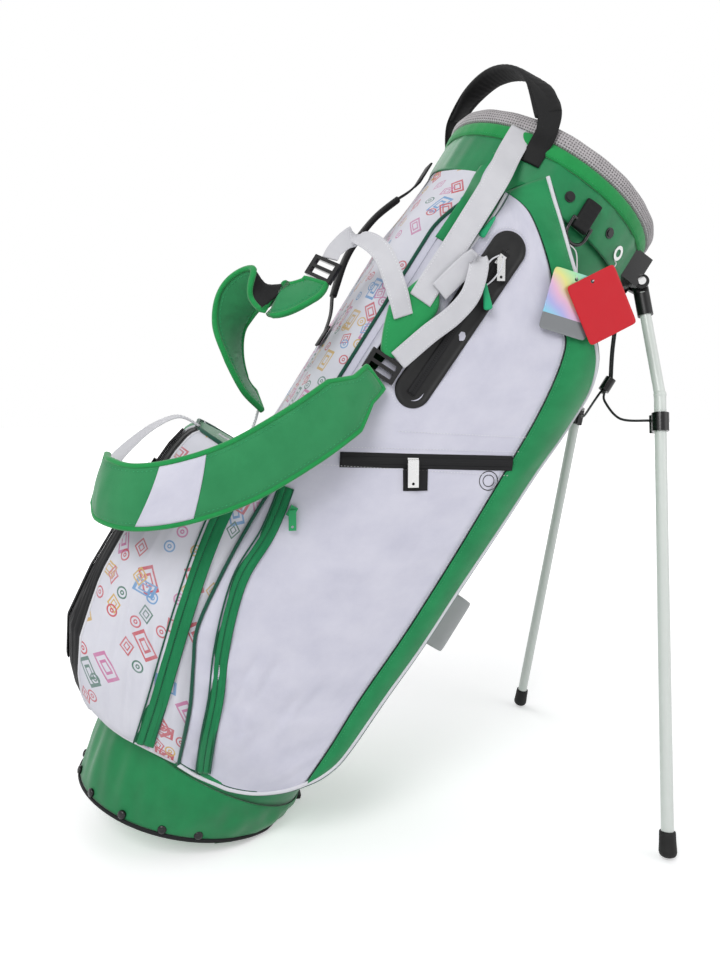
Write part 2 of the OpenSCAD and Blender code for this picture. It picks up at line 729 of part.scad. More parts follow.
// Eye of a leg's clip in the bag's frame, with the leg out
function clip_eye(side) = [hinge_x, side * hinge_y, hinge_z]
    + turned(bend_point(side) + [0, -side * (clip_reach - 4), clip_h / 2 - clip_drop], leg_axis(side), -leg_open);
module leg_cord() {
    color(black) bag() {
        for (s = [-1, 1]) wire(smooth([[bridge_x - 3, -24 + 3 * s, hinge_z - 12.4], [156, -24 + 2.6 * s, hinge_z - 37],
            [176, -24 + 2.6 * s, hinge_z - 75], lock_at + [0, 2.6 * s, lock_l / 2 - 0.5]], 4), cord_r);
        for (s = [-1, 1]) wire(smooth([lock_at + [0, 5.4 * s, -lock_l / 2 - 2], lock_at + [3, 14 * s, -lock_l / 2 - 14],
            (lock_at + clip_eye(s)) / 2 + [0, 0, -22],
            clip_eye(s) + 7.6 * unit(lock_at - clip_eye(s))], 4), cord_r, up = [0.9, 0.1, 0.4]);
    }
}
module cord_lock() {
    color(black) bag() translate(lock_at) difference() {
        cylinder(h = lock_l, r = 7, center = true);
        for (s = [-1, 1]) translate([0, s * 2.6, 6]) cylinder(h = 10, r = cord_r + 0.4);
        translate([0, 0, -12]) cylinder(h = 13, r = 3.5 + run);
    }
}
module cord_lock_plunger() {
    color(steel) bag() translate(lock_at) {
        translate([0, 0, -13]) cylinder(h = 11, r = 3.5);
    }
}

// ---- rod and yoke ---------------------------------------------------------
rod_z0 = shell_bottom - 2;
rod_z1 = hinge_z - 26;
module actuator_rod() {
    color(steel) bag() translate([rod_x, 0, rod_z0]) cylinder(h = rod_z1 - rod_z0, r = rod_r);
}
module leg_yoke() {
    color(black) bag() difference() {
        translate([rod_x - 5, -hinge_y + 18, rod_z1 - 14]) cube([11, 2 * hinge_y - 36, 14]);
        translate([rod_x, 0, rod_z1 - 20]) cylinder(h = 30, r = rod_r + 0.05);
    }
}

// ---- base -----------------------------------------------------------------
// Everything under the floor, cut off the boot and skirt so that the tipped ring stands on a flat front edge
module below_floor(top = 0) {
    translate([-400, -400, -60]) cube([800, 800, 60 + top]);
}
module base_boot() {
    color(black) difference() {
        union() {
            base() {
                translate([0, 0, -boot_h]) oval_ring(ring_a, ring_b, boot_t, boot_h);
                translate([0, 0, -boot_h]) linear_extrude(4) difference() {
                    polygon(oval(ring_a - 1, ring_b - 1));
                    translate([-20, 0]) polygon(round_rect(84, 101, 30, 20));
                }
                translate([ring_a - 4, -12, -8]) cube([26, 24, 8]);
            }
            intersection() {
                base() translate([0, 0, -boot_h]) linear_extrude(boot_h - 2) polygon(oval(ring_a - 1, ring_b - 1));
                translate([38, -200, 0]) cube([200, 400, 3]);
            }
        }
        below_floor();
    }
}
plate_t = 5;
ear_y = lug_y - lug_t / 2 - 0.4;
module base_plate() {
    ridge(ridge_x, ridge_depth, tilt);
    ridge(-34, ridge_depth - 8, 0);
    color(green) base() difference() {
        union() {
            translate([0, 0, -boot_h - 0.0]) linear_extrude(plate_t) polygon(round_rect(83.4, 100.4, 29.4));
            for (s = [-1, 1]) translate([base_hinge_x - 9, s * (ear_y - 5) - 5, -boot_h])
                cube([18, 10, boot_h + 9]);
        }
        translate([base_hinge_x, 0, 0]) rotate([90, 0, 0])
            cylinder(h = 400, r = base_pin_r + run, center = true);
    }
}
// Foot ridge across the plate, its flat contact strip turned back by angle t
strip = 9;
module ridge(x, depth, t) {
    top = depth - boot_h + 3;
    color(green) base() translate([x, ridge_l / 2, -depth]) rotate([90, 0, 0]) linear_extrude(ridge_l)
        polygon([[-strip, -strip * tan(t)], [strip, strip * tan(t)], [17, 8], [17, top], [-17, top], [-17, 8]]);
}
module base_pin() {
    color(steel) bag() translate([base_hinge[0], 0, base_hinge[1]]) rotate([90, 0, 0])
        cylinder(h = 2 * lug_y + lug_t, r = base_pin_r, center = true);
}
skirt_t = 1.5;
module skirt_cut(t) {
    hull() {
        bag() translate([0, 0, shell_bottom - 2]) linear_extrude(8) polygon(oval(body_a + fit + t, body_b + fit + t));
        base() translate([0, 0, -16]) linear_extrude(16) polygon(oval(ring_a + fit + t, ring_b + fit + t));
    }
}
module base_skirt() {
    color(green) difference() {
        skirt_cut(skirt_t);
        skirt_cut(0);
        bag() translate([0, 0, shell_bottom + 6 - 0.05]) linear_extrude(30) polygon(oval(300, 300));
        base() translate([0, 0, -16 - 30 + 0.05]) linear_extrude(30) polygon(oval(300, 300));
        base() translate([ring_a - 8, -14, -30]) cube([50, 28, 34]);
        below_floor(0.5);
    }
}
module base_snaps() {
    out = fit + skirt_t + 0.7;
    color(black) for (t = [190, 214, 238, 260, 278, 82, 100, 122, 146, 170])
        base() translate([(ring_a + out) * cos(t), (ring_b + out) * sin(t), -9])
            aim([cos(t), sin(t), 0]) cylinder(h = 2.5, r = 5);
}

// ---- hang tags ------------------------------------------------------------
tag_t = 0.8;
string_r = 0.7;
// A card on a string from knot, over the pocket's edge, to the card's hole; t turns it from hanging straight
module hang_tag(knot, over, hole, size, t) {
    bag() {
        translate(hole) rotate([0, t - lean, 0]) difference() {
            translate([-size[0] / 2, -tag_t, -size[1] + 7]) cube([size[0], tag_t, size[1]]);
            rotate([90, 0, 0]) cylinder(h = 10, r = 2.2, center = true);
        }
        wire([knot, over, hole + [0, -tag_t / 2, 0]], string_r, up = [1, 0.2, 0.1]);
    }
}
// Knots just under the eyelet and just under the towel ring
knot_red = band_spot(eyelet_x) + 3.3 * band_out(eyelet_x) + [0, 0, eyelet_z - 29.6];
knot_silver = band_spot(19) + 6.2 * band_out(19) + [0, 0, loop_z - 35.6];
module hang_tag_red() {
    color([0.8, 0.1, 0.12]) hang_tag(knot_red, [73, -147, 776 + rise], [57.7, -154, 745.7 + rise], [60, 70], -26);
}
module hang_tag_silver() {
    color([0.75, 0.75, 0.8]) hang_tag(knot_silver, [28, -147.5, 762 + rise], [42.8, -150, 738.5 + rise], [56, 68], 15);
}

body_shell();
top_collar();
top_divider();
divider_panels();
cuff_padding();
collar_band();
base_frame();
stay_rods();
belly_panel();
apparel_pocket_right();
apparel_pocket_left();
ball_pocket();
spine_panel();
front_zip_tape();
front_zip_slider();
valuables_zip_guard();
valuables_zip_slider();
ball_zip_tape();
ball_zip_slider();
apparel_zip_tape();
apparel_zip_slider();
top_handle();
spine_handle();
strap_hub();
strap_webbing();
strap_tails();
ladder_locks();
shoulder_pad_right();
shoulder_pad_left();
towel_loop();
towel_ring();
eyelet();
collar_snaps();
leg_bracket();
bracket_rivets();
leg_pins();
leg_head_right();
leg_tube_right();
leg_clip_right();
leg_foot_right();
leg_head_left();
leg_tube_left();
leg_clip_left();
leg_foot_left();
leg_cord();
cord_lock();
cord_lock_plunger();
leg_rest();
rod_guides();
actuator_rod();
leg_yoke();
base_boot();
base_plate();
base_skirt();
base_snaps();
base_pin();
hang_tag_red();
hang_tag_silver();
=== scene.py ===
"""Looks of the golf stand bag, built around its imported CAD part."""

import math

import bpy
import numpy as np
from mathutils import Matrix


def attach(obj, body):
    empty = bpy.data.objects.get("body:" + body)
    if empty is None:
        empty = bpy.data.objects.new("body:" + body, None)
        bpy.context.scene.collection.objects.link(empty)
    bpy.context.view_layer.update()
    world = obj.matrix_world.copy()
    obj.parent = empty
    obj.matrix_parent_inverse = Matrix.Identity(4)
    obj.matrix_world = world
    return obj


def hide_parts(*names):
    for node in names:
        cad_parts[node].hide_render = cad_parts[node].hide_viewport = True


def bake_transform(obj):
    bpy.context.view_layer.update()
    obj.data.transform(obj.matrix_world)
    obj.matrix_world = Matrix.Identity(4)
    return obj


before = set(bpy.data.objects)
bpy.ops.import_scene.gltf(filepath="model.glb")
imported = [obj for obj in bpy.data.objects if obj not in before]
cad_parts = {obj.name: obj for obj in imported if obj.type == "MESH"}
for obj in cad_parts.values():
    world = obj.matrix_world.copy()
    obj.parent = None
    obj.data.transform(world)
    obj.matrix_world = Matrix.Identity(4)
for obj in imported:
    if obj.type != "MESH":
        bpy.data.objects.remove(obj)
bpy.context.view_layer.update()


# ---- Studio -----------------------------------------------------------------
# A camera low at the bag's right side, a pale sweep of floor, and three soft
# lamps with an even white room around them.
def add_lamp(name, place, aim_at, size, watts):
    lamp = bpy.data.lights.new(name, "AREA")
    lamp.shape = "SQUARE"
    lamp.size = size
    lamp.energy = watts
    holder = bpy.data.objects.new(name, lamp)
    bpy.context.scene.collection.objects.link(holder)
    direction = np.array(aim_at) - np.array(place)
    across = math.hypot(direction[0], direction[1])
    holder.location = place
    holder.rotation_euler = (
        math.pi / 2 + math.atan2(direction[2], across),
        0,
        math.atan2(direction[1], direction[0]) - math.pi / 2,
    )


camera_data = bpy.data.cameras.new("camera")
camera_data.lens = 30
camera_data.sensor_width = 36
camera = bpy.data.objects.new("camera", camera_data)
bpy.context.scene.collection.objects.link(camera)
camera.location = (-0.0038, -0.983, 0.531)
camera.rotation_euler = (math.radians(90 - 6.9), 0, math.radians(-10.6))
bpy.context.scene.camera = camera
bpy.context.scene.view_settings.view_transform = "Standard"

add_lamp("key_lamp", (-0.9, -1.7, 1.9), (0.15, 0, 0.4), 1.1, 30)
add_lamp("fill_lamp", (1.8, -1.2, 1.2), (0.15, 0, 0.4), 1.4, 8)
add_lamp("back_lamp", (-0.6, 1.8, 1.6), (0.15, 0, 0.4), 1.4, 11)

room = bpy.data.worlds.new("room")
bpy.context.scene.world = room
room.use_nodes = True
room_tree = room.node_tree
room_tree.nodes.clear()


def background_rays(tree):
    """A socket that is 1 for rays that see the background directly, mirrored or through glass, and 0 for its light."""
    path = tree.nodes.new("ShaderNodeLightPath")
    either = path.outputs["Is Camera Ray"]
    for ray in ("Is Glossy Ray", "Is Transmission Ray"):
        larger = tree.nodes.new("ShaderNodeMath")
        larger.operation = "MAXIMUM"
        tree.links.new(either, larger.inputs[0])
        tree.links.new(path.outputs[ray], larger.inputs[1])
        either = larger.outputs[0]
    return either


room_light = room_tree.nodes.new("ShaderNodeBackground")
room_light.inputs["Strength"].default_value = 0.47
room_white = room_tree.nodes.new("ShaderNodeBackground")
room_white.inputs["Strength"].default_value = 1.0
for glow in (room_light, room_white):
    glow.inputs["Color"].default_value = (1, 1, 1, 1)
room_mix = room_tree.nodes.new("ShaderNodeMixShader")
room_out = room_tree.nodes.new("ShaderNodeOutputWorld")
room_tree.links.new(background_rays(room_tree), room_mix.inputs[0])
room_tree.links.new(room_light.outputs[0], room_mix.inputs[1])
room_tree.links.new(room_white.outputs[0], room_mix.inputs[2])
room_tree.links.new(room_mix.outputs[0], room_out.inputs[0])

floor_mesh = bpy.data.meshes.new("floor")
floor_mesh.from_pydata([(-9, -9, -0.0005), (9, -9, -0.0005), (9, 9, -0.0005), (-9, 9, -0.0005)], [], [(0, 1, 2, 3)])
floor = bpy.data.objects.new("floor", floor_mesh)
bpy.context.scene.collection.objects.link(floor)
floor_paint = bpy.data.materials.new("floor_paint")
floor_paint.use_nodes = True
floor_paint.node_tree.nodes["Principled BSDF"].inputs["Base Color"].default_value = (0.93, 0.93, 0.94, 1)
floor_paint.node_tree.nodes["Principled BSDF"].inputs["Roughness"].default_value = 0.9
# The floor glows a little where it is looked at, and more far off, so that it meets the white room without an edge
floor_tree = floor_paint.node_tree
floor_where = floor_tree.nodes.new("ShaderNodeTexCoord")
floor_far = floor_tree.nodes.new("ShaderNodeVectorMath")
floor_far.operation = "LENGTH"
floor_tree.links.new(floor_where.outputs["Object"], floor_far.inputs[0])
floor_glow = floor_tree.nodes.new("ShaderNodeMapRange")
for socket, value in (("From Min", 0.5), ("From Max", 2.2), ("To Min", 0.34), ("To Max", 0.9)):
    floor_glow.inputs[socket].default_value = value
floor_tree.links.new(floor_far.outputs["Value"], floor_glow.inputs["Value"])
floor_light = floor_tree.nodes.new("ShaderNodeMath")
floor_light.operation = "MULTIPLY"
floor_tree.links.new(floor_glow.outputs[0], floor_light.inputs[0])
floor_tree.links.new(background_rays(floor_tree), floor_light.inputs[1])
floor_tree.links.new(floor_light.outputs[0], floor_tree.nodes["Principled BSDF"].inputs["Emission Color"])
floor_tree.nodes["Principled BSDF"].inputs["Emission Strength"].default_value = 1.0
floor_mesh.materials.append(floor_paint)


# ---- Leg cord ---------------------------------------------------------------
# One thin black elastic cord: two strands come down from the bracket into the
# spring lock, and one goes on from the lock to the clip on each leg.
LEAN = math.radians(32.6)
RING = np.array([-41.821, 0, 43.985])
ACROSS = np.array([math.cos(LEAN), 0, -math.sin(LEAN)])
ALONG = np.array([math.sin(LEAN), 0, math.cos(LEAN)])
SIDE = np.array([0.0, 1.0, 0.0])


def bag_place(u, y, w):
    """Row-frame point, in metres, of a place in the leaning bag: u from spine to belly, y to the left, w along it, in mm."""
    u, y, w = np.broadcast_arrays(np.asarray(u, float), np.asarray(y, float), np.asarray(w, float))
    return (RING + u[..., None] * ACROSS + y[..., None] * SIDE + w[..., None] * ALONG) / 1000


def in_bag(points):
    """bag_place for a list of (u, y, w)."""
    return bag_place(*np.asarray(points, float).T)


def smooth_path(points, count):
    """Evenly spaced points on a curve that runs through the given ones (Catmull-Rom, its ends doubled)."""
    p = np.asarray(points, float)
    q = np.vstack([p[:1], p, p[-1:]])
    t = np.linspace(0, 1, 24, endpoint=False)[:, None]
    a, b, c, d = (q[i : len(q) - 3 + i, None, :] for i in range(4))
    curve = 0.5 * (2 * b + (c - a) * t + (2 * a - 5 * b + 4 * c - d) * t**2 + (3 * b - a - 3 * c + d) * t**3)
    curve = np.vstack([curve.reshape(-1, p.shape[1]), p[-1:]])
    run = np.r_[0, np.cumsum(np.linalg.norm(np.diff(curve, axis=0), axis=1))]
    even = np.linspace(0, run[-1], count)
    return np.column_stack([np.interp(even, run, curve[:, k]) for k in range(p.shape[1])])


def grid_piece(name, grid, material, wrap_i=False, wrap_j=False, caps=False, away_from=None):
    """Mesh over a grid of points, one four-sided face to a cell; wrap joins the last row or column to the first.
    The UV map is the distance run along each way, in metres. Faces look away from the point given, or out of the closed form."""
    n, m, _ = grid.shape
    index = np.arange(n * m).reshape(n, m)
    run_i = np.r_[0, np.cumsum(np.linalg.norm(np.diff(grid, axis=0), axis=2).mean(1))]
    run_j = np.r_[0, np.cumsum(np.linalg.norm(np.diff(grid, axis=1), axis=2).mean(0))]
    if wrap_i:
        run_i = np.r_[run_i, run_i[-1] + np.linalg.norm(grid[0] - grid[-1], axis=1).mean()]
        index = np.vstack([index, index[:1]])
    if wrap_j:
        run_j = np.r_[run_j, run_j[-1] + np.linalg.norm(grid[:, 0] - grid[:, -1], axis=1).mean()]
        index = np.hstack([index, index[:, :1]])
    a, b, c, d = index[:-1, :-1], index[:-1, 1:], index[1:, 1:], index[1:, :-1]
    faces = np.stack([a, b, c, d], -1).reshape(-1, 4)
    i0, j0 = np.meshgrid(np.arange(index.shape[0] - 1), np.arange(index.shape[1] - 1), indexing="ij")
    ui = np.stack([run_i[i0], run_i[i0], run_i[i0 + 1], run_i[i0 + 1]], -1)
    vj = np.stack([run_j[j0], run_j[j0 + 1], run_j[j0 + 1], run_j[j0]], -1)
    uv = np.stack([ui, vj], -1).reshape(-1, 4, 2)
    points = grid.reshape(-1, 3)
    p0, p1, p2, p3 = (points[faces[:, k]] for k in range(4))
    normal = np.cross(p2 - p0, p3 - p1)
    middle = (p0 + p2) / 2
    if away_from is None:
        facing = (normal * (middle - points.mean(0))).sum()
    else:
        facing = (normal * (middle - np.asarray(away_from))).sum()
    if facing < 0:
        faces, uv = faces[:, ::-1], uv[:, ::-1]
    face_list = faces.tolist()
    uv_flat = uv.reshape(-1, 2)
    if caps:
        first, last = index[0, :m].tolist(), index[-1, :m].tolist()
        face_list += [first, last[::-1]] if facing < 0 else [first[::-1], last]
        uv_flat = np.vstack([uv_flat, np.zeros((2 * m, 2))])
    mesh = bpy.data.meshes.new(name)
    mesh.from_pydata(points.tolist(), [], face_list)
    mesh.uv_layers.new(name="UVMap").data.foreach_set("uv", uv_flat.astype(np.float32).ravel())
    mesh.polygons.foreach_set("use_smooth", np.ones(len(face_list), bool))
    mesh.materials.append(material)
    piece = bpy.data.objects.new(name, mesh)
    bpy.context.scene.collection.objects.link(piece)
    return piece


def sweep(name, path, across, width, thick, material, sides=12, square=1.0, closed=False):
    """A profile carried along a path: a flattened ring, width wide and thick deep, at right angles to the path.
    across gives the way the width runs. square is 1 for an ellipse, and smaller for a flat band with round edges."""
    path = np.asarray(path, float)
    ahead = np.roll(path, -1, 0) - np.roll(path, 1, 0) if closed else np.gradient(path, axis=0)
    ahead /= np.linalg.norm(ahead, axis=1)[:, None]
    across = np.broadcast_to(np.asarray(across, float), path.shape)
    wide = across - ahead * (across * ahead).sum(1)[:, None]
    wide /= np.linalg.norm(wide, axis=1)[:, None]
    deep = np.cross(ahead, wide)
    turn = np.linspace(0, 2 * np.pi, sides, endpoint=False) + np.pi / sides
    x = np.sign(np.cos(turn)) * np.abs(np.cos(turn)) ** square
    z = np.sin(turn)
    width = np.broadcast_to(np.asarray(width, float), len(path))[:, None, None]
    thick = np.broadcast_to(np.asarray(thick, float), len(path))[:, None, None]
    grid = path[:, None] + wide[:, None] * x[:, None] * width / 2 + deep[:, None] * z[:, None] * thick / 2
    return grid_piece(name, grid, material, wrap_i=closed, wrap_j=True, caps=not closed)


def node_chain(tree, kind, **inputs):
    """A new node of that kind, with its sockets set by name or number: a link if given a socket, else a value."""
    node = tree.nodes.new(kind)
    for key, value in inputs.items():
        socket = node.inputs[int(key[1:])] if key[0] == "i" and key[1:].isdigit() else node.inputs[key.replace("_", " ")]
        if isinstance(value, bpy.types.NodeSocket):
            tree.links.new(value, socket)
        else:
            socket.default_value = value
    return node


def maths(tree, operation, a, b=0.0):
    node = node_chain(tree, "ShaderNodeMath", i0=a, i1=b)
    node.operation = operation
    return node.outputs[0]


def new_group(name, takes, gives):
    """An empty shader node group with those named inputs and outputs."""
    group = bpy.data.node_groups.new(name, "ShaderNodeTree")
    for label, kind in takes:
        group.interface.new_socket(name=label, in_out="INPUT", socket_type=kind)
    for label, kind in gives:
        group.interface.new_socket(name=label, in_out="OUTPUT", socket_type=kind)
    return group, group.nodes.new("NodeGroupInput"), group.nodes.new("NodeGroupOutput")


# Cloth: threads crossing over and under, painted shade where they dip under, a fine grain, and slow blotches of light
# and dark
cloth_group, cloth_in, cloth_out = new_group(
    "woven_cloth",
    [("Vector", "NodeSocketVector"), ("Color", "NodeSocketColor"), ("Shade", "NodeSocketColor"),
     ("Threads", "NodeSocketFloat"), ("Blotch", "NodeSocketFloat")],
    [("Color", "NodeSocketColor"), ("Height", "NodeSocketFloat"), ("Roughness", "NodeSocketFloat")],
)
threads = node_chain(cloth_group, "ShaderNodeVectorMath", i0=cloth_in.outputs["Vector"])
threads.operation = "SCALE"
cloth_group.links.new(cloth_in.outputs["Threads"], threads.inputs["Scale"])
split_threads = node_chain(cloth_group, "ShaderNodeSeparateXYZ", i0=threads.outputs[0])
warp = maths(cloth_group, "SINE", maths(cloth_group, "MULTIPLY", split_threads.outputs[0], 2 * math.pi))
weft = maths(cloth_group, "SINE", maths(cloth_group, "MULTIPLY", split_threads.outputs[1], 2 * math.pi))
over = maths(cloth_group, "MULTIPLY_ADD", maths(cloth_group, "MULTIPLY", warp, weft), 0.5)
over.node.inputs[2].default_value = 0.5
blotches = node_chain(
    cloth_group, "ShaderNodeTexNoise", Vector=cloth_in.outputs["Vector"], Scale=26.0, Detail=5.0, Roughness=0.6
)
grain = node_chain(cloth_group, "ShaderNodeTexNoise", Vector=cloth_in.outputs["Vector"], Scale=900.0, Detail=2.0)
soft = node_chain(cloth_group, "ShaderNodeMapRange", Value=blotches.outputs["Fac"])
soft.inputs["From Min"].default_value, soft.inputs["From Max"].default_value = 0.35, 0.7
tone_and_weave_shade = maths(cloth_group, "MULTIPLY", soft.outputs[0], cloth_in.outputs["Blotch"])
# Threads that dip under are made darker: painted shade in the hollows of the weave, added to the real blotches and
# grain
tone_and_weave_shade = maths(cloth_group, "ADD", tone_and_weave_shade, maths(cloth_group, "MULTIPLY", maths(cloth_group, "SUBTRACT", 1.0, over), 0.16))
tone_and_weave_shade = maths(cloth_group, "ADD", tone_and_weave_shade, maths(cloth_group, "MULTIPLY", grain.outputs["Fac"], 0.14))
tone_and_weave_shade.node.use_clamp = True
tone = cloth_group.nodes.new("ShaderNodeMix")
tone.data_type = "RGBA"
cloth_group.links.new(tone_and_weave_shade, tone.inputs["Factor"])
cloth_group.links.new(cloth_in.outputs["Color"], tone.inputs[6])
cloth_group.links.new(cloth_in.outputs["Shade"], tone.inputs[7])
cloth_group.links.new(tone.outputs[2], cloth_out.inputs["Color"])
relief = maths(
    cloth_group, "ADD", maths(cloth_group, "MULTIPLY", over, 0.7),
    maths(cloth_group, "MULTIPLY", grain.outputs["Fac"], 0.5)
)
cloth_group.links.new(relief, cloth_out.inputs["Height"])
rub = maths(cloth_group, "MULTIPLY_ADD", soft.outputs[0], 0.16)
rub.node.inputs[2].default_value = 0.7
cloth_group.links.new(rub, cloth_out.inputs["Roughness"])


def cloth(name, colour, shade, threads_per_metre=900, blotch=0.3, relief_mm=0.12, gloss=None, sheen=0.25):
    """Woven cloth that follows the piece's own UV map; gloss sets one plain roughness for satin and coated cloth."""
    material = bpy.data.materials.new(name)
    material.use_nodes = True
    tree = material.node_tree
    shader = tree.nodes["Principled BSDF"]
    where = tree.nodes.new("ShaderNodeTexCoord")
    weave = tree.nodes.new("ShaderNodeGroup")
    weave.node_tree = cloth_group
    tree.links.new(where.outputs["UV"], weave.inputs["Vector"])
    weave.inputs["Color"].default_value = (*colour, 1)
    weave.inputs["Shade"].default_value = (*shade, 1)
    weave.inputs["Threads"].default_value = threads_per_metre
    weave.inputs["Blotch"].default_value = blotch
    bump = node_chain(tree, "ShaderNodeBump", Strength=0.6, Distance=relief_mm / 1000, Height=weave.outputs["Height"])
    tree.links.new(weave.outputs["Color"], shader.inputs["Base Color"])
    tree.links.new(bump.outputs[0], shader.inputs["Normal"])
    if gloss is None:
        tree.links.new(weave.outputs["Roughness"], shader.inputs["Roughness"])
    else:
        shader.inputs["Roughness"].default_value = gloss
    shader.inputs["Sheen Weight"].default_value = sheen
    shader.inputs["Specular IOR Level"].default_value = 0.25
    shader.inputs["Sheen Roughness"].default_value = 0.5
    return material


cord_cloth = cloth("elastic_cord", (0.02, 0.02, 0.022), (0.05, 0.05, 0.055), 700, 0.3, 0.3)
LOCK = np.array([194.0, -24.0, 700.0])
CLIP_EYES = {-1: np.array([239.09, -97.88, 672.79]), 1: np.array([239.09, 97.88, 672.79])}


def fit(piece, slot, *nodes, body="bag"):
    """The piece rides on the body and stands for those CAD nodes, which are hidden; slot is not used."""
    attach(piece, body)
    if nodes:
        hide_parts(*nodes)
    return piece


def cord_run(name, points, thick_mm, material, body):
    """A round cord along in-bag points."""
    path = in_bag(smooth_path(points, 24))
    piece = sweep(name, path, (0.13, 0.97, 0.2), thick_mm / 1000, thick_mm / 1000, material)
    if isinstance(body, tuple):
        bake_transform(piece)
    else:
        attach(piece, body)
    return piece


for side, label in ((-1, "right"), (1, "left")):
    eye = CLIP_EYES[side]
    toward = (LOCK - eye) / np.linalg.norm(LOCK - eye)
    upper = cord_run(
        f"cord_upper_{label}",
        [
            (139, -24 + 3 * side, 800.6), (156, -24 + 2.6 * side, 776), (176, -24 + 2.6 * side, 738),
            LOCK + [0, 2.6 * side, 8.5]
        ],
        3.0, cord_cloth, "bag")
    lower = cord_run(
        f"cord_lower_{label}",
        [LOCK + [0, 5.4 * side, -11], LOCK + [3, 14 * side, -23], (LOCK + eye) / 2 + [0, 0, -22], eye + 7.6 * toward],
        3.0, cord_cloth, ("bag", f"leg_{label}"))
    for piece in (upper, lower):
        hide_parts("leg_cord")


# ---- Body skin --------------------------------------------------------------
# The bag's tube is satin-faced green cloth stretched over the stays and the
# collar. It is one closed wall with a cloth lining, open at both ends.
satin = cloth("satin_green_cloth", (0.009, 0.235, 0.078), (0.004, 0.12, 0.042), 700, 0.5, 0.1, gloss=0.42, sheen=0.3)


def creases(a, b, count, depth, length, width, box, seed, lean_deg=90, spread_deg=25):
    """Sum of long soft creases: each is a ridge, depth high, that fades along its length and across its width."""
    rng = np.random.default_rng(seed)
    total = np.zeros(np.broadcast(a, b).shape)
    for _ in range(count):
        ca, cb = rng.uniform(box[0], box[1]), rng.uniform(box[2], box[3])
        turn = math.radians(lean_deg + rng.normal(0, spread_deg))
        long_way = (a - ca) * math.cos(turn) + (b - cb) * math.sin(turn)
        short_way = (b - cb) * math.cos(turn) - (a - ca) * math.sin(turn)
        wide = width * rng.uniform(0.6, 1.5)
        bend = short_way + 0.0012 * rng.uniform(-1, 1) * long_way**2
        total += depth * rng.uniform(-1, 1) * np.exp(
            -((long_way / (length * rng.uniform(0.6, 1.3))) ** 2) - (bend / wide) ** 2
        )
    return total


round_turn = np.linspace(0, 2 * np.pi, 168, endpoint=False)
skin_w = np.r_[np.linspace(821.5, 47, 70), np.linspace(47, 821.5, 30)]
skin_wall = np.r_[np.zeros(70), np.full(30, 3.0)]
T, K = np.meshgrid(round_turn, np.arange(100), indexing="ij")
skin_give = np.where(K < 70, creases(np.degrees(T), skin_w[K], 70, 0.9, 60, 9, (0, 360, 60, 800), 4), 0)
skin_a = 131.6 - skin_wall[K] + np.minimum(skin_give, 0.3)
body_skin = grid_piece(
    "body_skin", bag_place(skin_a * np.cos(T), (skin_a - 6) * np.sin(T), skin_w[K]), satin, wrap_i=True, wrap_j=True
)
fit(body_skin, "shell_fabric", "body_shell")


# ---- Side pockets -----------------------------------------------------------
# Each side of the bag is one big pouch: a white coated-cloth front, a green
# band sewn along its belly edge and over its top, and a green wall behind.
def ease(low, high, x):
    """Smooth step from 0 at low to 1 at high."""
    t = np.clip((x - low) / (high - low), 0, 1)
    return t * t * (3 - 2 * t)


def round_box(u, a, b, r):
    """Half-width at u of a box a by b with corners of radius r."""
    over_edge = np.minimum(np.maximum(np.abs(u) - (a - r), 0), r)
    return b - r + np.sqrt(r * r - over_edge**2)


def pouch_front(u, w):
    """Half-width of the side pouch: a round-cornered box, eased in to the band at the rim and tucked under at the foot."""
    y = round_box(u, 147, 143, 55)
    rim = 131.8 * np.sqrt(np.maximum(1 - (u / 138.5) ** 2, 0.02))
    top = ease(735, 802, w)
    y = y * (1 - top) + rim * top
    foot = 1 - ease(50, 118, w)
    return y - foot * (y - np.minimum(y, 118)) * 0.75


def patch(left, right, low, high, n, m):
    """Grid of (u, w) filling four edge curves: the edges are blended across both ways (a Coons patch)."""
    L, R, B, T = smooth_path(left, n), smooth_path(right, n), smooth_path(low, m), smooth_path(high, m)
    i, k = np.linspace(0, 1, n)[:, None, None], np.linspace(0, 1, m)[None, :, None]
    ruled = (1 - k) * L[:, None] + k * R[:, None] + (1 - i) * B[None] + i * T[None]
    corners = (1 - i) * ((1 - k) * B[0] + k * B[-1]) + i * ((1 - k) * T[0] + k * T[-1])
    return ruled - corners, np.broadcast_to(i, (n, m, 1))[..., 0], np.broadcast_to(k, (n, m, 1))[..., 0]


def wall(piece, mm, offset=-1.0):
    """Gives an open piece of cloth its thickness, inwards from the face made here."""
    solid = piece.modifiers.new("thickness", "SOLIDIFY")
    solid.thickness = mm / 1000
    solid.offset = offset
    return piece


white_cloth = cloth("white_coated_cloth", (0.66, 0.655, 0.745), (0.50, 0.50, 0.61), 1100, 0.42, 0.10, sheen=0.1)
band_cloth = cloth("green_band_cloth", (0.011, 0.265, 0.085), (0.005, 0.15, 0.05), 800, 0.45, 0.16, sheen=0.35)
wall_cloth = cloth("green_wall_cloth", (0.009, 0.225, 0.072), (0.004, 0.125, 0.042), 800, 0.45, 0.16, sheen=0.3)
SPLIT = [(-42, 57), (-68, 125), (-90, 168), (-107, 205), (-115, 270), (-118, 330), (-118, 384)]
WHITE_LEFT = SPLIT + [(-112, 430), (-98, 500), (-86, 568), (-78, 637), (-75, 691), (-72, 737), (-70, 778)]
SEAM = [(89, 109), (91, 160), (91, 220), (95, 300), (96, 345), (96, 420), (94, 523), (92, 588), (86, 639), (76, 675), (62, 690),
        (35, 713), (10, 737), (-26, 766), (-46, 777), (-70, 780)]
PIPING = [(89, 109), (104, 132), (112, 160), (117, 236), (123, 306), (125, 380), (130, 475), (133, 545), (140, 594), (143, 628),
          (139, 652), (124, 677), (108, 693), (73, 719), (40, 747), (23, 762), (-2, 785), (-24, 804), (-40, 819)]
FOOT = [(-42, 57), (-20, 55), (2, 56), (24, 58), (50, 68), (72, 86), (89, 109)]


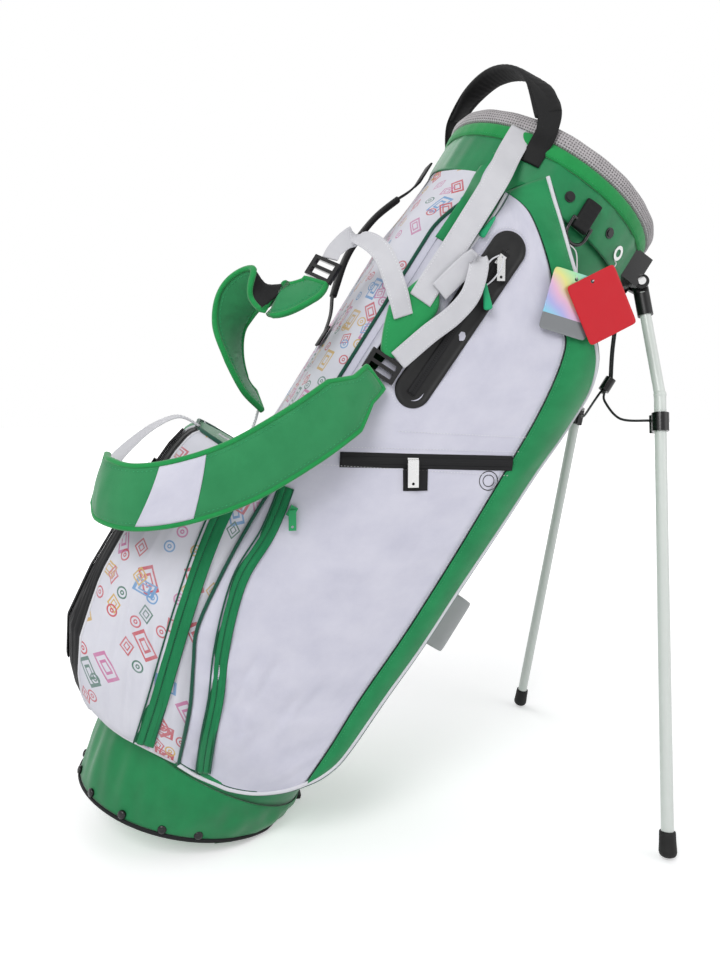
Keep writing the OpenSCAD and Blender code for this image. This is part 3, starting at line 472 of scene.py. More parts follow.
def pouch_relief(u, w, seed):
    """How far the white front stands out or dips: a slack middle, pulls towards the zip and creases at the foot."""
    slack = 2.2 * np.sin(np.clip((w - 80) / 640, 0, 1) * np.pi) * np.exp(-(((u + 5) / 90) ** 2))
    long_folds = creases(u, w, 46, 1.7, 70, 10, (-90, 100, 90, 420), seed, 60, 24)
    top_folds = creases(u, w, 26, 1.0, 50, 9, (-80, 90, 560, 740), seed + 1, 20, 30)
    foot_folds = creases(u, w, 26, 2.2, 34, 7, (-50, 100, 55, 190), seed + 2, 75, 22)
    calm = 1 - 0.8 * np.exp(-(((w - 0.585 * u - 482) / 38) ** 2))
    return slack + (long_folds + top_folds + foot_folds) * calm


def on_pouch(points, side, lift=0.0):
    """In-bag points on the pouch's face, lift mm proud of it."""
    p = np.asarray(points, float)
    return bag_place(p[:, 0], side * (pouch_front(p[:, 0], p[:, 1]) + lift), p[:, 1])


for side, label in ((-1, "right"), (1, "left")):
    out = bag_place(0, 0, 400)
    uw, I, K = patch(WHITE_LEFT, SEAM, FOOT, [(-70, 778), (-70, 779), (-70, 780)], 190, 110)
    u, w = uw[..., 0], uw[..., 1]
    rim_fade = ease(0, 0.05, K) * ease(0, 0.05, 1 - K) * ease(0, 0.015, I)
    y = pouch_front(u, w) + pouch_relief(u, w, 11 + side) * rim_fade * 0.8 - 2.6 * (
        1 - ease(0, 0.05, 1 - K) * ease(0, 0.03, K)
    ) ** 2
    front = wall(grid_piece(f"pocket_front_{label}", bag_place(u, side * y, w), white_cloth, away_from=out), 1.2)

    uw, I, K = patch(SEAM, PIPING, [(89, 109), (89, 109.3), (89, 109.6)], [(-70, 780), (-56, 800), (-40, 819)], 190, 26)
    u, w = uw[..., 0], uw[..., 1]
    ripple = creases(u, w, 60, 1.1, 22, 6, (-60, 140, 120, 800), 31 + side, 25, 30)
    y = pouch_front(u, w) + 2.4 * np.sin(np.pi * K) ** 0.7 + ripple * np.sin(np.pi * K)
    band = wall(grid_piece(f"pocket_band_{label}", bag_place(u, side * y, w), band_cloth, away_from=out), 1.6)

    corner = patch([(-112, 690), (-110, 740), (-106, 778), (-102, 820)], [(-74, 690), (-72, 737), (-70, 780), (-40, 819)],
                   [(-112, 690), (-92, 690), (-74, 690)], [(-102, 820), (-70, 820), (-40, 819)], 40, 24)
    u, w = corner[0][..., 0], corner[0][..., 1]
    top_corner = wall(
        grid_piece(f"pocket_top_{label}", bag_place(u, side * (pouch_front(u, w) - 0.8), w), band_cloth, away_from=out),
        1.6
    )

    edge = smooth_path(FOOT[:-1] + PIPING, 220)
    reach = pouch_front(edge[:, 0], edge[:, 1]) - 1.5
    inner = np.maximum(124.5 * np.sqrt(np.maximum(1 - (edge[:, 0] / 131) ** 2, 0)), 58)
    depth = np.linspace(0, 1, 9)
    y = reach[:, None] + (np.minimum(inner, reach - 3) - reach)[:, None] * depth
    tuck = 2.5 * np.sin(np.pi * depth)[None] * (1 + 0.5 * np.sin(edge[:, 1] / 17)[:, None])
    gusset = wall(
        grid_piece(
            f"pocket_wall_{label}", bag_place(edge[:, 0, None] - tuck, side * y, edge[:, 1, None] + 0 * y), wall_cloth,
            away_from=out
        ),
        1.4
    )
    for piece in (front, band, top_corner, gusset):
        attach(piece, "bag")
        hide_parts(f"apparel_pocket_{label}")


# ---- Pocket piping and stitching --------------------------------------------
# White cord piping is sewn into the belly edge and foot of each side pouch,
# with rows of thread beside the seams. The wall seams have dark piping.
pipe_white = cloth("white_piping", (0.72, 0.72, 0.76), (0.55, 0.55, 0.6), 1200, 0.2, 0.15)
pipe_dark = cloth("dark_green_piping", (0.006, 0.085, 0.05), (0.004, 0.05, 0.03), 1200, 0.2, 0.15)
thread_white = cloth("white_thread", (0.8, 0.8, 0.82), (0.7, 0.7, 0.72), 3000, 0.1, 0.05)
thread_green = cloth("green_thread", (0.03, 0.40, 0.15), (0.02, 0.30, 0.11), 3000, 0.1, 0.05)


def stitch_rows(name, rows, material, pitch=3.6, long=2.3, wide=0.75, high=0.5):
    """Lines of stitches: each is a small lozenge with eight faces, laid along its row every pitch mm and proud of the cloth.
    A row is its world points and the outward direction at them."""
    points, faces = [], []
    for path, outward in rows:
        path = np.asarray(path, float)
        outward = np.broadcast_to(np.asarray(outward, float), path.shape)
        run = np.r_[0, np.cumsum(np.linalg.norm(np.diff(path, axis=0), axis=1))]
        at = np.arange(pitch / 2000, run[-1], pitch / 1000)
        c = np.column_stack([np.interp(at, run, path[:, k]) for k in range(3)])
        n = np.column_stack([np.interp(at, run, outward[:, k]) for k in range(3)])
        t = np.column_stack([np.interp(at + 5e-4, run, path[:, k]) for k in range(3)]) - np.column_stack(
            [np.interp(at - 5e-4, run, path[:, k]) for k in range(3)])
        t /= np.maximum(np.linalg.norm(t, axis=1), 1e-9)[:, None]
        n -= t * (n * t).sum(1)[:, None]
        n /= np.linalg.norm(n, axis=1)[:, None]
        b = np.cross(t, n)
        base = sum(len(p) for p in points)
        six = np.stack(
            [
                c + t * long / 2000, c + b * wide / 2000, c - t * long / 2000, c - b * wide / 2000, c + n * high / 1000,
                c - n * high / 1000
            ],
            1
        )
        points.append(six.reshape(-1, 3))
        start = base + 6 * np.arange(len(c))[:, None, None]
        faces.append(
            (
                start + np.array(
                    [[1, 0, 4], [2, 1, 4], [3, 2, 4], [0, 3, 4], [0, 1, 5], [1, 2, 5], [2, 3, 5], [3, 0, 5]]
                )
            ).reshape(-1, 3)
        )
    points, faces = np.vstack(points), np.vstack(faces)
    p0, p1, p2 = (points[faces[:, k]] for k in range(3))
    centre = points.reshape(-1, 6, 3).mean(1).repeat(8, 0)
    turned = (np.cross(p1 - p0, p2 - p0) * ((p0 + p1 + p2) / 3 - centre)).sum(1) < 0
    faces[turned] = faces[turned][:, ::-1]
    mesh = bpy.data.meshes.new(name)
    mesh.from_pydata(points.tolist(), [], faces.tolist())
    mesh.uv_layers.new(name="UVMap")
    mesh.materials.append(material)
    piece = bpy.data.objects.new(name, mesh)
    bpy.context.scene.collection.objects.link(piece)
    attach(piece, "bag")
    return piece


def inset(curve, near, far_from, mm):
    """The curve moved mm away from itself, towards the given (u, w) place."""
    p = smooth_path(curve, near)
    t = np.gradient(p, axis=0)
    t /= np.linalg.norm(t, axis=1)[:, None]
    n = np.column_stack([-t[:, 1], t[:, 0]])
    n *= np.sign((n * (np.asarray(far_from) - p)).sum(1))[:, None]
    return p + n * mm


for side, label in ((-1, "right"), (1, "left")):
    edge = smooth_path([(-42, 57)] + FOOT[1:-1] + PIPING, 260)
    pipe = sweep(f"pocket_piping_{label}", on_pouch(edge, side, 0.2), (0, 1, 0), 0.0046, 0.0046, pipe_white, 10)
    # A dark cord sunk just inside the white piping is a painted shadow along its edge
    dark = sweep(
        f"pocket_piping_shadow_{label}", on_pouch(inset(edge, 260, (600, 400), 2.6), side, -1.2), (0, 1, 0), 0.0032,
        0.0032, pipe_dark, 8
    )
    upper = sweep(f"strap_seam_piping_{label}", on_pouch(smooth_path([(-78, 600), (-77, 637), (-75, 691), (-72, 737), (-69, 776)], 60), side, 0.6),
                  (0, 1, 0), 0.0034, 0.0034, pipe_white, 8)
    wall_seam = sweep(
        f"pocket_wall_piping_{label}", on_pouch(smooth_path(SPLIT, 80), side, 0.4), (0, 1, 0), 0.004, 0.004, pipe_dark,
        8
    )
    for piece in (pipe, dark, upper, wall_seam):
        fit(piece, "white_webbing" if piece in (pipe, upper) else "shell_fabric")
    seam_out = (0, side, 0)
    rows = [(on_pouch(inset(SEAM[:-4], 200, (0, 400), 3.2), side, 1.0), seam_out)]
    rows += [(on_pouch([(-36, 494), (92, 566)], side, 2.4), seam_out), (on_pouch([(-92, 440), (95, 549)], side, 2.4), seam_out),
             (on_pouch([(-92, 418), (97, 519)], side, 2.4), seam_out)]
    stitch_rows(f"pocket_stitching_{label}", rows, thread_white)
    green_rows = [(on_pouch(inset(PIPING[2:-1], 200, (0, 400), 5.0), side, 1.6), seam_out),
                  (on_pouch(inset(SEAM[:-4], 200, (400, 500), 3.0), side, 1.5), seam_out)]
    stitch_rows(f"band_stitching_{label}", green_rows, thread_green)


# ---- Front zip --------------------------------------------------------------
# A black zip slants across the front of the right side pouch: coated tape with a
# raised coil down its middle, and a folded black tab sewn in under it.
tape_cloth = cloth("black_zip_tape", (0.005, 0.005, 0.006), (0.010, 0.010, 0.011), 1500, 0.3, 0.12, gloss=0.65, sheen=0)
coil_black = cloth("black_zip_coil", (0.008, 0.008, 0.009), (0.02, 0.02, 0.022), 1500, 0.2, 0.1, gloss=0.35, sheen=0)


def teeth(name, path, outward, material, pitch=2.4, long=1.5, wide=4.4, high=1.1):
    """A zip coil: a row of short bars across the tape."""
    return stitch_rows(name, [(path, outward)], material, pitch, long, wide, high)


right_face = (0, -1, 0)
front_line = smooth_path([(-73, 435.5), (10, 484), (94.5, 533.5)], 60)
zip_tape = sweep(
    "front_zip_band", on_pouch(front_line, -1, 1.4), (-0.505, 0, 0.863), 0.0168, 0.0016, tape_cloth, 14, 0.4
)
zip_ridge = sweep(
    "front_zip_flaps", on_pouch(front_line, -1, 2.2), (-0.505, 0, 0.863), 0.0085, 0.0024, tape_cloth, 12, 0.6
)
for piece in (
    zip_tape, zip_ridge,
    teeth("front_zip_coil", on_pouch(front_line, -1, 3.0), right_face, coil_black, wide=2.0, high=0.7)
):
    fit(piece, "black_webbing", "front_zip_tape")

tab_grid, _, _ = patch([(4.5, 443), (-2, 453), (-9, 463.5)], [(27.5, 457.5), (21, 468), (15, 477.5)], [(4.5, 443), (16, 450), (27.5, 457.5)],
                       [(-9, 463.5), (3, 470.5), (15, 477.5)], 12, 10)
pull_tab = grid_piece(
    "front_pull_tab", on_pouch(tab_grid.reshape(-1, 2), -1, 2.6).reshape(12, 10, 3), tape_cloth, away_from=out
)
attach(wall(pull_tab, 2.2), "bag")

ring_turn = np.linspace(0, 2 * np.pi, 48, endpoint=False)
for name, radius, thick in (("eyelet_print_ring", 10.6, 1.0), ("eyelet_print_inner", 6.4, 0.9)):
    ring = sweep(name, on_pouch(np.column_stack([82 + radius * np.cos(ring_turn), 503 + radius * np.sin(ring_turn)]), -1, 0.7), (0, 1, 0),
                 0.0011, thick / 1000, coil_black, 6, closed=True)
    fit(ring, "black_webbing")


# ---- Valuables pocket -------------------------------------------------------
# A long moulded black guard with round ends frames a hidden zip. Its rim stands
# proud, a ridge runs over the zip, and pale thread is sewn round it.
guard_rubber = bpy.data.materials.new("moulded_black")
guard_rubber.use_nodes = True


def mould_nodes(material, colour, rough, grain_scale=1400.0, grain_mm=0.05, wear=0.12, metal=0.0, coat=0.0):
    """Moulded or painted surface on Object coordinates: a fine grain, slow changes of gloss, and slight rubbing of the colour."""
    material.use_nodes = True
    tree = material.node_tree
    shader = tree.nodes["Principled BSDF"]
    where = tree.nodes.new("ShaderNodeTexCoord")
    finish = tree.nodes.new("ShaderNodeGroup")
    finish.node_tree = mould_group
    tree.links.new(where.outputs["Object"], finish.inputs["Vector"])
    finish.inputs["Color"].default_value = (*colour, 1)
    finish.inputs["Roughness"].default_value = rough
    finish.inputs["Grain"].default_value = grain_scale
    finish.inputs["Wear"].default_value = wear
    bump = node_chain(tree, "ShaderNodeBump", Strength=0.5, Distance=grain_mm / 1000, Height=finish.outputs["Height"])
    tree.links.new(finish.outputs["Color"], shader.inputs["Base Color"])
    tree.links.new(finish.outputs["Roughness"], shader.inputs["Roughness"])
    tree.links.new(bump.outputs[0], shader.inputs["Normal"])
    shader.inputs["Metallic"].default_value = metal
    shader.inputs["Coat Weight"].default_value = coat
    shader.inputs["Specular IOR Level"].default_value = 0.3
    shader.inputs["Coat Roughness"].default_value = 0.12
    return material


mould_group, mould_in, mould_out = new_group(
    "moulded_finish",
    [
        ("Vector", "NodeSocketVector"), ("Color", "NodeSocketColor"), ("Roughness", "NodeSocketFloat"),
        ("Grain", "NodeSocketFloat"), ("Wear", "NodeSocketFloat")
    ],
    [("Color", "NodeSocketColor"), ("Height", "NodeSocketFloat"), ("Roughness", "NodeSocketFloat")],
)
mould_grain = node_chain(
    mould_group, "ShaderNodeTexNoise", Vector=mould_in.outputs["Vector"], Scale=mould_in.outputs["Grain"], Detail=3.0
)
mould_rub = node_chain(
    mould_group, "ShaderNodeTexNoise", Vector=mould_in.outputs["Vector"], Scale=40.0, Detail=6.0, Roughness=0.65
)
rub_mask = node_chain(mould_group, "ShaderNodeMapRange", Value=mould_rub.outputs["Fac"])
rub_mask.inputs["From Min"].default_value, rub_mask.inputs["From Max"].default_value = 0.45, 0.75
rubbed = maths(mould_group, "MULTIPLY", rub_mask.outputs[0], mould_in.outputs["Wear"])
mould_tone = mould_group.nodes.new("ShaderNodeMix")
mould_tone.data_type = "RGBA"
mould_group.links.new(rubbed, mould_tone.inputs["Factor"])
mould_group.links.new(mould_in.outputs["Color"], mould_tone.inputs[6])
mould_tone.inputs[7].default_value = (0.20, 0.20, 0.20, 1)
mould_group.links.new(mould_tone.outputs[2], mould_out.inputs["Color"])
mould_group.links.new(mould_grain.outputs["Fac"], mould_out.inputs["Height"])
mould_group.links.new(
    maths(mould_group, "ADD", mould_in.outputs["Roughness"], maths(mould_group, "MULTIPLY", rubbed, 0.8)),
    mould_out.inputs["Roughness"]
)
mould_nodes(guard_rubber, (0.005, 0.005, 0.0055), 0.5, 900.0, 0.08, 0.03)

GUARD_TOP, GUARD_FOOT, GUARD_R = np.array([-38.5, 722.0]), np.array([-45.5, 541.0]), 20.5
guard_axis = (GUARD_FOOT - GUARD_TOP) / np.linalg.norm(GUARD_FOOT - GUARD_TOP)
guard_side = np.array([-guard_axis[1], guard_axis[0]])
guard_run = np.linalg.norm(GUARD_FOOT - GUARD_TOP)


def stadium(radius, count=120):
    """Closed outline with round ends about the guard's axis."""
    turn = np.linspace(0, 2 * np.pi, count, endpoint=False)
    end = np.where(np.cos(turn)[:, None] > 0, guard_run, 0.0)
    return GUARD_TOP + guard_axis * (end + radius * np.cos(turn)[:, None]) + guard_side * radius * np.sin(turn)[:, None]


rings_in = [
    (GUARD_R, 0.4), (GUARD_R - 0.4, 2.2), (GUARD_R - 1.6, 2.9), (GUARD_R - 3.6, 2.6), (GUARD_R - 5, 1.5), (12, 1.2),
    (8, 1.4), (5, 1.7), (2.5, 1.9), (0.3, 2.0)
]
guard = grid_piece(
    "valuables_guard", np.stack([on_pouch(stadium(r), -1, lift) for r, lift in rings_in]), guard_rubber, wrap_j=True,
    away_from=out
)
wall(guard, 1.2)
slot_line = smooth_path([GUARD_TOP + guard_axis * 4, GUARD_TOP + guard_axis * 90, GUARD_FOOT + guard_axis * 6], 60)
guard_ridge = sweep("valuables_zip_ridge", on_pouch(slot_line, -1, 2.6), (1, 0, 0), 0.0095, 0.0026, tape_cloth, 12, 0.5)
for piece in (
    guard, guard_ridge,
    teeth("valuables_zip_coil", on_pouch(slot_line, -1, 3.6), right_face, coil_black, wide=2.2, high=0.8)
):
    fit(piece, "black_webbing", "valuables_zip_guard")
guard_thread = stitch_rows(
    "valuables_guard_stitching",
    [(
        np.vstack([on_pouch(stadium(GUARD_R + 3.2), -1, 1.0), on_pouch(stadium(GUARD_R + 3.2)[:1], -1, 1.0)]),
        right_face
    )],
    thread_white
)
pull_loop = smooth_path(
    [
        (-45, 153.5 + 556, 0), (-50, 700, 1.6), (-50, 685, 2.2), (-43, 672, 2.0), (-37, 684, 2.2), (-36, 700, 1.6),
        (-40, 712, 0)
    ],
    40
)
pull_cord = sweep("valuables_pull_cord", bag_place(pull_loop[:, 0], -(pouch_front(pull_loop[:, 0], pull_loop[:, 1]) + 8.2 + pull_loop[:, 2] * 0.4), pull_loop[:, 1]),
                  (0, 1, 0), 0.0018, 0.0018, pipe_white, 8)
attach(pull_cord, "valuables_zip")
pull_path = in_bag(
    np.column_stack(
        [
            pull_loop[:, 0], -(pouch_front(pull_loop[:, 0], pull_loop[:, 1]) + 8.2 + pull_loop[:, 2] * 0.4),
            pull_loop[:, 1]
        ]
    )
)


def pull_tag(name, top, foot, wide, body, lift):
    """A soft moulded zip pull: narrow at its cord and wider at its foot, with rounded edges."""
    path = smooth_path([top, (np.array(top) + foot) / 2, foot], 24)
    place = bag_place(path[:, 0], -(pouch_front(path[:, 0], path[:, 1]) + lift), path[:, 1])
    k = np.linspace(0, 1, 24)
    piece = sweep(
        name, place, (0.84, 0, -0.54), wide / 1000 * (0.35 + 0.65 * k) * np.sqrt(1 - (2 * k - 1) ** 12 * 0.75),
        0.0042 * np.sqrt(1 - (2 * k - 1) ** 12 * 0.75), pull_green, 16, 0.6
    )
    fit(piece, "bright_binding", body=body)
    return piece


pull_green = mould_nodes(bpy.data.materials.new("green_soft_pull"), (0.012, 0.36, 0.15), 0.5, 800.0, 0.08, 0.03)
pull_tag("valuables_pull", (-43, 676), (-24, 655), 11, "valuables_zip", 10.5)
pull_tag("upper_pull", (-70, 742), (-72, 716), 9, "bag", 3.2)
upper_string = sweep(
    "upper_pull_string", on_pouch(smooth_path([(-66, 782), (-67, 764), (-70, 741)], 20), -1, 1.6), (0, 1, 0), 0.0012,
    0.0012, pipe_dark, 6
)
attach(upper_string, "bag")
upper_path = on_pouch(smooth_path([(-66, 782), (-67, 764), (-70, 741)], 20), -1, 1.6)


# ---- Side zips --------------------------------------------------------------
# Two long green zips with wide cloth tapes curve down beside the wall seam: one
# on the side pouch, one on the ball pouch. Each has a dark line at both edges.
def ball_front(u, w):
    """Half-width of the ball pouch at u: a round-cornered box reaching past the spine, tucked in at its foot."""
    reach, foot = ball_reach(w), 1 - ease(50, 125, w)
    over_edge = np.clip(-(u + reach - 60), 0, 60)
    return 74 + np.sqrt(3600 - over_edge**2) - foot * 9


def ball_reach(w):
    """How far the ball pouch reaches behind the bag's axis, up its height."""
    return np.interp(
        w, [50, 60, 70, 92, 130, 190, 250, 300, 350, 384], [150, 171, 184, 203, 224, 231, 232, 231.5, 229, 222]
    )


def on_ball(points, side, lift=0.0):
    p = np.asarray(points, float)
    return bag_place(p[:, 0], side * (ball_front(p[:, 0], p[:, 1]) + lift), p[:, 1])


zip_green = cloth("green_zip_tape", (0.007, 0.215, 0.075), (0.003, 0.12, 0.042), 1400, 0.35, 0.12, sheen=0.2)
POUCH_ZIP = [
    (-14, 62), (-34, 106), (-50, 148), (-70, 190), (-87, 236), (-97, 278), (-97, 325), (-101, 356), (-106, 381)
]
BALL_ZIP = [(-87, 60), (-100, 110), (-114, 160), (-128, 212), (-140, 262), (-148, 306), (-152, 345), (-154, 382)]


def side_zip(name, line, place, width, wide_way):
    """Cloth tape with two raised lips over a coil, and a thin dark line at each edge."""
    middle = smooth_path(line, 110)
    t = np.gradient(middle, axis=0)
    t /= np.linalg.norm(t, axis=1)[:, None]
    n = np.column_stack([-t[:, 1], t[:, 0]])
    parts = [sweep(name + "_tape", place(middle, -1, 1.0), wide_way, width / 1000, 0.0016, zip_green, 14, 0.4)]
    for s, tag in ((-1, "front"), (1, "back")):
        parts.append(
            sweep(
                f"{name}_lip_{tag}", place(middle + n * s * width * 0.17, -1, 1.9), wide_way, width * 0.30 / 1000,
                0.0022, zip_green, 12, 0.6
            )
        )
        parts.append(
            sweep(
                f"{name}_edge_{tag}", place(middle + n * s * width * 0.46, -1, 2.0), wide_way, 0.0020, 0.0022,
                pipe_dark, 8
            )
        )
    parts.append(teeth(name + "_coil", place(middle, -1, 2.0), right_face, pipe_dark, wide=2.0, high=0.7))
    for piece in parts:
        fit(piece, "bright_binding")
    return parts


for piece in side_zip("pouch_side_zip", POUCH_ZIP, on_pouch, 17, (0.85, -0.2, 0.3)):
    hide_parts("apparel_zip_tape")
side_zip("ball_side_zip", BALL_ZIP, on_ball, 23, (0.85, -0.2, 0.3))


# ---- Ball pouch -------------------------------------------------------------
# The big pouch behind the foot of the bag: printed cloth on its sides, green
# cloth round its back, white piping, and a black zip down its rear corner.
print_group, print_in, print_out = new_group(
    "scattered_shapes",
    [("Vector", "NodeSocketVector"), ("Ground", "NodeSocketColor"), ("Scale", "NodeSocketFloat")], [("Color", "NodeSocketColor")])


def scatter(offset, scale, metric, size, line, filled, turn, squeeze, dealt):
    """Outlines of one shape, one to a cell, each in one of a few colours; filled adds a dot of the same colour inside."""
    moved = node_chain(print_group, "ShaderNodeVectorMath", i0=print_in.outputs["Vector"], i1=offset)
    moved.operation = "ADD"
    turned = node_chain(print_group, "ShaderNodeMapping", Vector=moved.outputs[0])
    turned.inputs["Rotation"].default_value = (0, 0, turn)
    pressed = node_chain(print_group, "ShaderNodeMapping", Vector=turned.outputs[0])
    pressed.inputs["Scale"].default_value = (1, squeeze, 1)
    cells = node_chain(print_group, "ShaderNodeTexVoronoi", Vector=pressed.outputs[0], Randomness=0.6)
    cells.distance = metric
    cells.voronoi_dimensions = "2D"
    print_group.links.new(maths(print_group, "MULTIPLY", print_in.outputs["Scale"], scale), cells.inputs["Scale"])
    far = cells.outputs["Distance"]
    rim = maths(
        print_group, "LESS_THAN", maths(print_group, "ABSOLUTE", maths(print_group, "SUBTRACT", far, size)), line
    )
    dot = maths(
        print_group, "LESS_THAN", maths(print_group, "ABSOLUTE", maths(print_group, "SUBTRACT", far, filled)),
        line * 0.8
    )
    mask = maths(print_group, "MAXIMUM", rim, dot)
    dice = node_chain(print_group, "ShaderNodeSeparateColor", i0=cells.outputs["Color"])
    paint = print_group.nodes.new("ShaderNodeValToRGB")
    paint.color_ramp.interpolation = "CONSTANT"
    shades = [
        (0.55, 0.004, 0.012), (0.62, 0.36, 0.002), (0.56, 0.13, 0.32), (0.10, 0.30, 0.58), (0.001, 0.13, 0.06),
        (0.55, 0.02, 0.03)
    ]
    while len(paint.color_ramp.elements) < len(shades):
        paint.color_ramp.elements.new(0.5)
    for i, shade in enumerate(shades):
        paint.color_ramp.elements[i].position = i / len(shades)
        paint.color_ramp.elements[i].color = (*shade, 1)
    print_group.links.new(dice.outputs[0], paint.inputs[0])
    shown = maths(print_group, "GREATER_THAN", dice.outputs[1], dealt)
    return maths(print_group, "MULTIPLY", mask, shown), paint.outputs[0]


under = print_in.outputs["Ground"]
for layer in (
    ((0.31, 0.12, 0), 31, "CHEBYCHEV", 0.22, 0.030, 0.10, 0.5, 0.55, 0.50),
    ((0, 0, 0), 34, "CHEBYCHEV", 0.21, 0.032, 0.11, -0.35, 0.60, 0.55),
    ((0.17, 0.43, 0), 36, "MANHATTAN", 0.26, 0.035, 0.12, 0.9, 0.80, 0.62),
    ((0.51, 0.77, 0), 40, "EUCLIDEAN", 0.22, 0.034, 0.07, 0.0, 1.0, 0.55),
):
    mask, colour = scatter(*layer)
    lay = print_group.nodes.new("ShaderNodeMix")
    lay.data_type = "RGBA"
    print_group.links.new(mask, lay.inputs["Factor"])
    print_group.links.new(under, lay.inputs[6])
    print_group.links.new(colour, lay.inputs[7])
    under = lay.outputs[2]
print_group.links.new(under, print_out.inputs["Color"])


def printed(name, scale=1.0, turn=0.0):
    """White cloth with small generic outlines printed on it, following the piece's UV map."""
    material = cloth(name, (0.70, 0.70, 0.76), (0.58, 0.58, 0.66), 1100, 0.35, 0.10, sheen=0.1)
    tree = material.node_tree
    weave = next(n for n in tree.nodes if n.bl_idname == "ShaderNodeGroup")
    where = next(n for n in tree.nodes if n.bl_idname == "ShaderNodeTexCoord")
    spin = node_chain(tree, "ShaderNodeMapping", Vector=where.outputs["UV"])
    spin.inputs["Rotation"].default_value = (0, 0, turn)
    shapes = tree.nodes.new("ShaderNodeGroup")
    shapes.node_tree = print_group
    tree.links.new(spin.outputs[0], shapes.inputs["Vector"])
    shapes.inputs["Ground"].default_value = (0.70, 0.70, 0.76, 1)
    shapes.inputs["Scale"].default_value = scale
    tree.links.new(shapes.outputs[0], weave.inputs["Color"])
    return material


ball_print = printed("printed_cloth_ball", 1.0, 0.35)
spine_print = printed("printed_cloth_spine", 1.12, 1.1)


BALL_CORNER, BALL_BACK, BALL_HALF = 60, 148.0, 134.0


def ball_ring(w, count, first, last):
    """Points (u, y) round the ball pouch at each height, from its right wall seam past the spine to its left one.
    first and last are shares of the way round."""
    share = np.linspace(first, last, count)
    split = np.interp(w, [p[1] for p in SPLIT], [p[0] for p in SPLIT])[:, None]
    reach = ball_reach(w)[:, None]
    tuck = ((1 - ease(50, 125, w)) * 9)[:, None]
    side_run = np.maximum(split + reach - BALL_CORNER, 5)
    corner = BALL_CORNER * np.pi / 2
    total = 2 * side_run + 2 * corner + BALL_BACK
    s = share[None] * total
    mirror = s > total / 2
    s = np.where(mirror, total - s, s)
    on_side, on_corner = s < side_run, (s >= side_run) & (s < side_run + corner)
    angle = np.clip((s - side_run) / BALL_CORNER, 0, np.pi / 2)
    u = np.where(on_side, split - s, np.where(on_corner, -reach + BALL_CORNER * (1 - np.sin(angle)), -reach))
    y = np.where(
        on_side, BALL_HALF,
        np.where(on_corner, BALL_BACK / 2 + BALL_CORNER * np.cos(angle), BALL_BACK / 2 - (s - side_run - corner))
    ) - tuck
    return u, np.where(mirror, y, -y), share


ball_w = np.r_[52.5, 54, 58, 64, 72, np.linspace(82, 368, 78), 375, 380, 383.5]
ball_ease = np.interp(ball_w, [52.5, 58, 72, 368, 378, 383.5], [0.9, 0.985, 1, 1, 0.985, 0.93])[:, None]
for name, first, last, count, paint, seed in (("ball_print_right", 0.0, 0.262, 70, ball_print, 51), ("ball_black_band", 0.262, 0.372, 40, tape_cloth, 54),
                                              ("ball_back", 0.372, 0.738, 76, wall_cloth, 52),
                                              ("ball_print_left", 0.738, 1.0, 70, ball_print, 53)):
    u, y, share = ball_ring(ball_w, count, first, last)
    K, Wm = np.broadcast_arrays(np.linspace(0, 400, count)[None], ball_w[:, None])
    give = creases(
        K, Wm, 60, 1.6, 60, 11, (0, 400, 90, 380), seed, 80, 30
    ) + 2.0 * np.sin(np.pi * np.clip((ball_w[:, None] - 60) / 320, 0, 1))
    seam = np.sin(np.pi * np.linspace(0, 1, count))[None] ** 0.5
    scale = 1 + give * seam / 190
    uu = -100 + (u + 100) * np.where(u < -110, ball_ease * scale, 1)
    yy = y * ball_ease * (1 + give * seam / 134)
    piece = wall(
        grid_piece(name, bag_place(uu, yy, ball_w[:, None] + 0 * u), paint, away_from=bag_place(-100, 0, 220)), 1.6
    )
    fit(
        piece, {"ball_back": "shell_fabric", "ball_black_band": "black_webbing"}.get(name, "printed_fabric"),
        "ball_pocket"
    )

for name, at_w, lift in (("ball_pouch_lid", 383.0, 3.0), ("ball_pouch_floor", 52.8, -1.5)):
    u, y, _ = ball_ring(np.array([at_w]), 90, 0, 1)
    inward = np.linspace(0, 1, 14)[:, None]
    rim_u, rim_y = -100 + (u + 100) * np.where(u < -110, 0.94 if lift > 0 else 0.9, 1), y * (0.935 if lift > 0 else 0.9)
    wall_u = -np.sqrt(np.maximum(133.5**2 - (rim_y * 133.5 / 127.5 * 0.98) ** 2, 1))
    wall_u = np.maximum(wall_u, rim_u)
    piece = grid_piece(name, bag_place(rim_u + (wall_u - rim_u) * inward, rim_y * (1 - 0.02 * inward), at_w + lift * np.sin(np.pi * inward) + 0 * rim_u),
                       wall_cloth, away_from=bag_place(-100, 0, 220))
    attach(wall(piece, 1.4), "bag")

for share, name, paint, fat in ((0.0, "ball_wall_piping_right", pipe_dark, 3.6), (0.262, "ball_rear_edge_right", pipe_white, 3.2), (0.372, "ball_rear_piping_right", pipe_white, 4.2),
                                (0.738, "ball_rear_piping_left", pipe_white, 4.2), (1.0, "ball_wall_piping_left", pipe_dark, 3.6)):
    u, y, _ = ball_ring(ball_w, 1, share, share)
    line = bag_place(
        -100 + (u[:, 0] + 100) * np.where(u[:, 0] < -110, ball_ease[:, 0], 1), y[:, 0] * ball_ease[:, 0] * 1.004, ball_w
    )
    piece = sweep(name, line, (0.3, 1, 0), fat / 1000, fat / 1000, paint, 10)
    fit(piece, "white_webbing" if paint is pipe_white else "shell_fabric")
u, y, _ = ball_ring(np.array([53.6]), 150, 0, 1)
foot_pipe = sweep(
    "ball_foot_piping", bag_place(-100 + (u[0] + 100) * np.where(u[0] < -110, 0.93, 1), y[0] * 0.93, 54.5 + 0 * u[0]),
    (0, 0, 1), 0.0044, 0.0044, pipe_white, 10
)
u, y, _ = ball_ring(np.array([382.0]), 150, 0, 1)
lid_pipe = sweep(
    "ball_lid_piping", bag_place(-100 + (u[0] + 100) * np.where(u[0] < -110, 0.955, 1), y[0] * 0.955, 383 + 0 * u[0]),
    (0, 0, 1), 0.0048, 0.0048, pipe_dark, 10
)
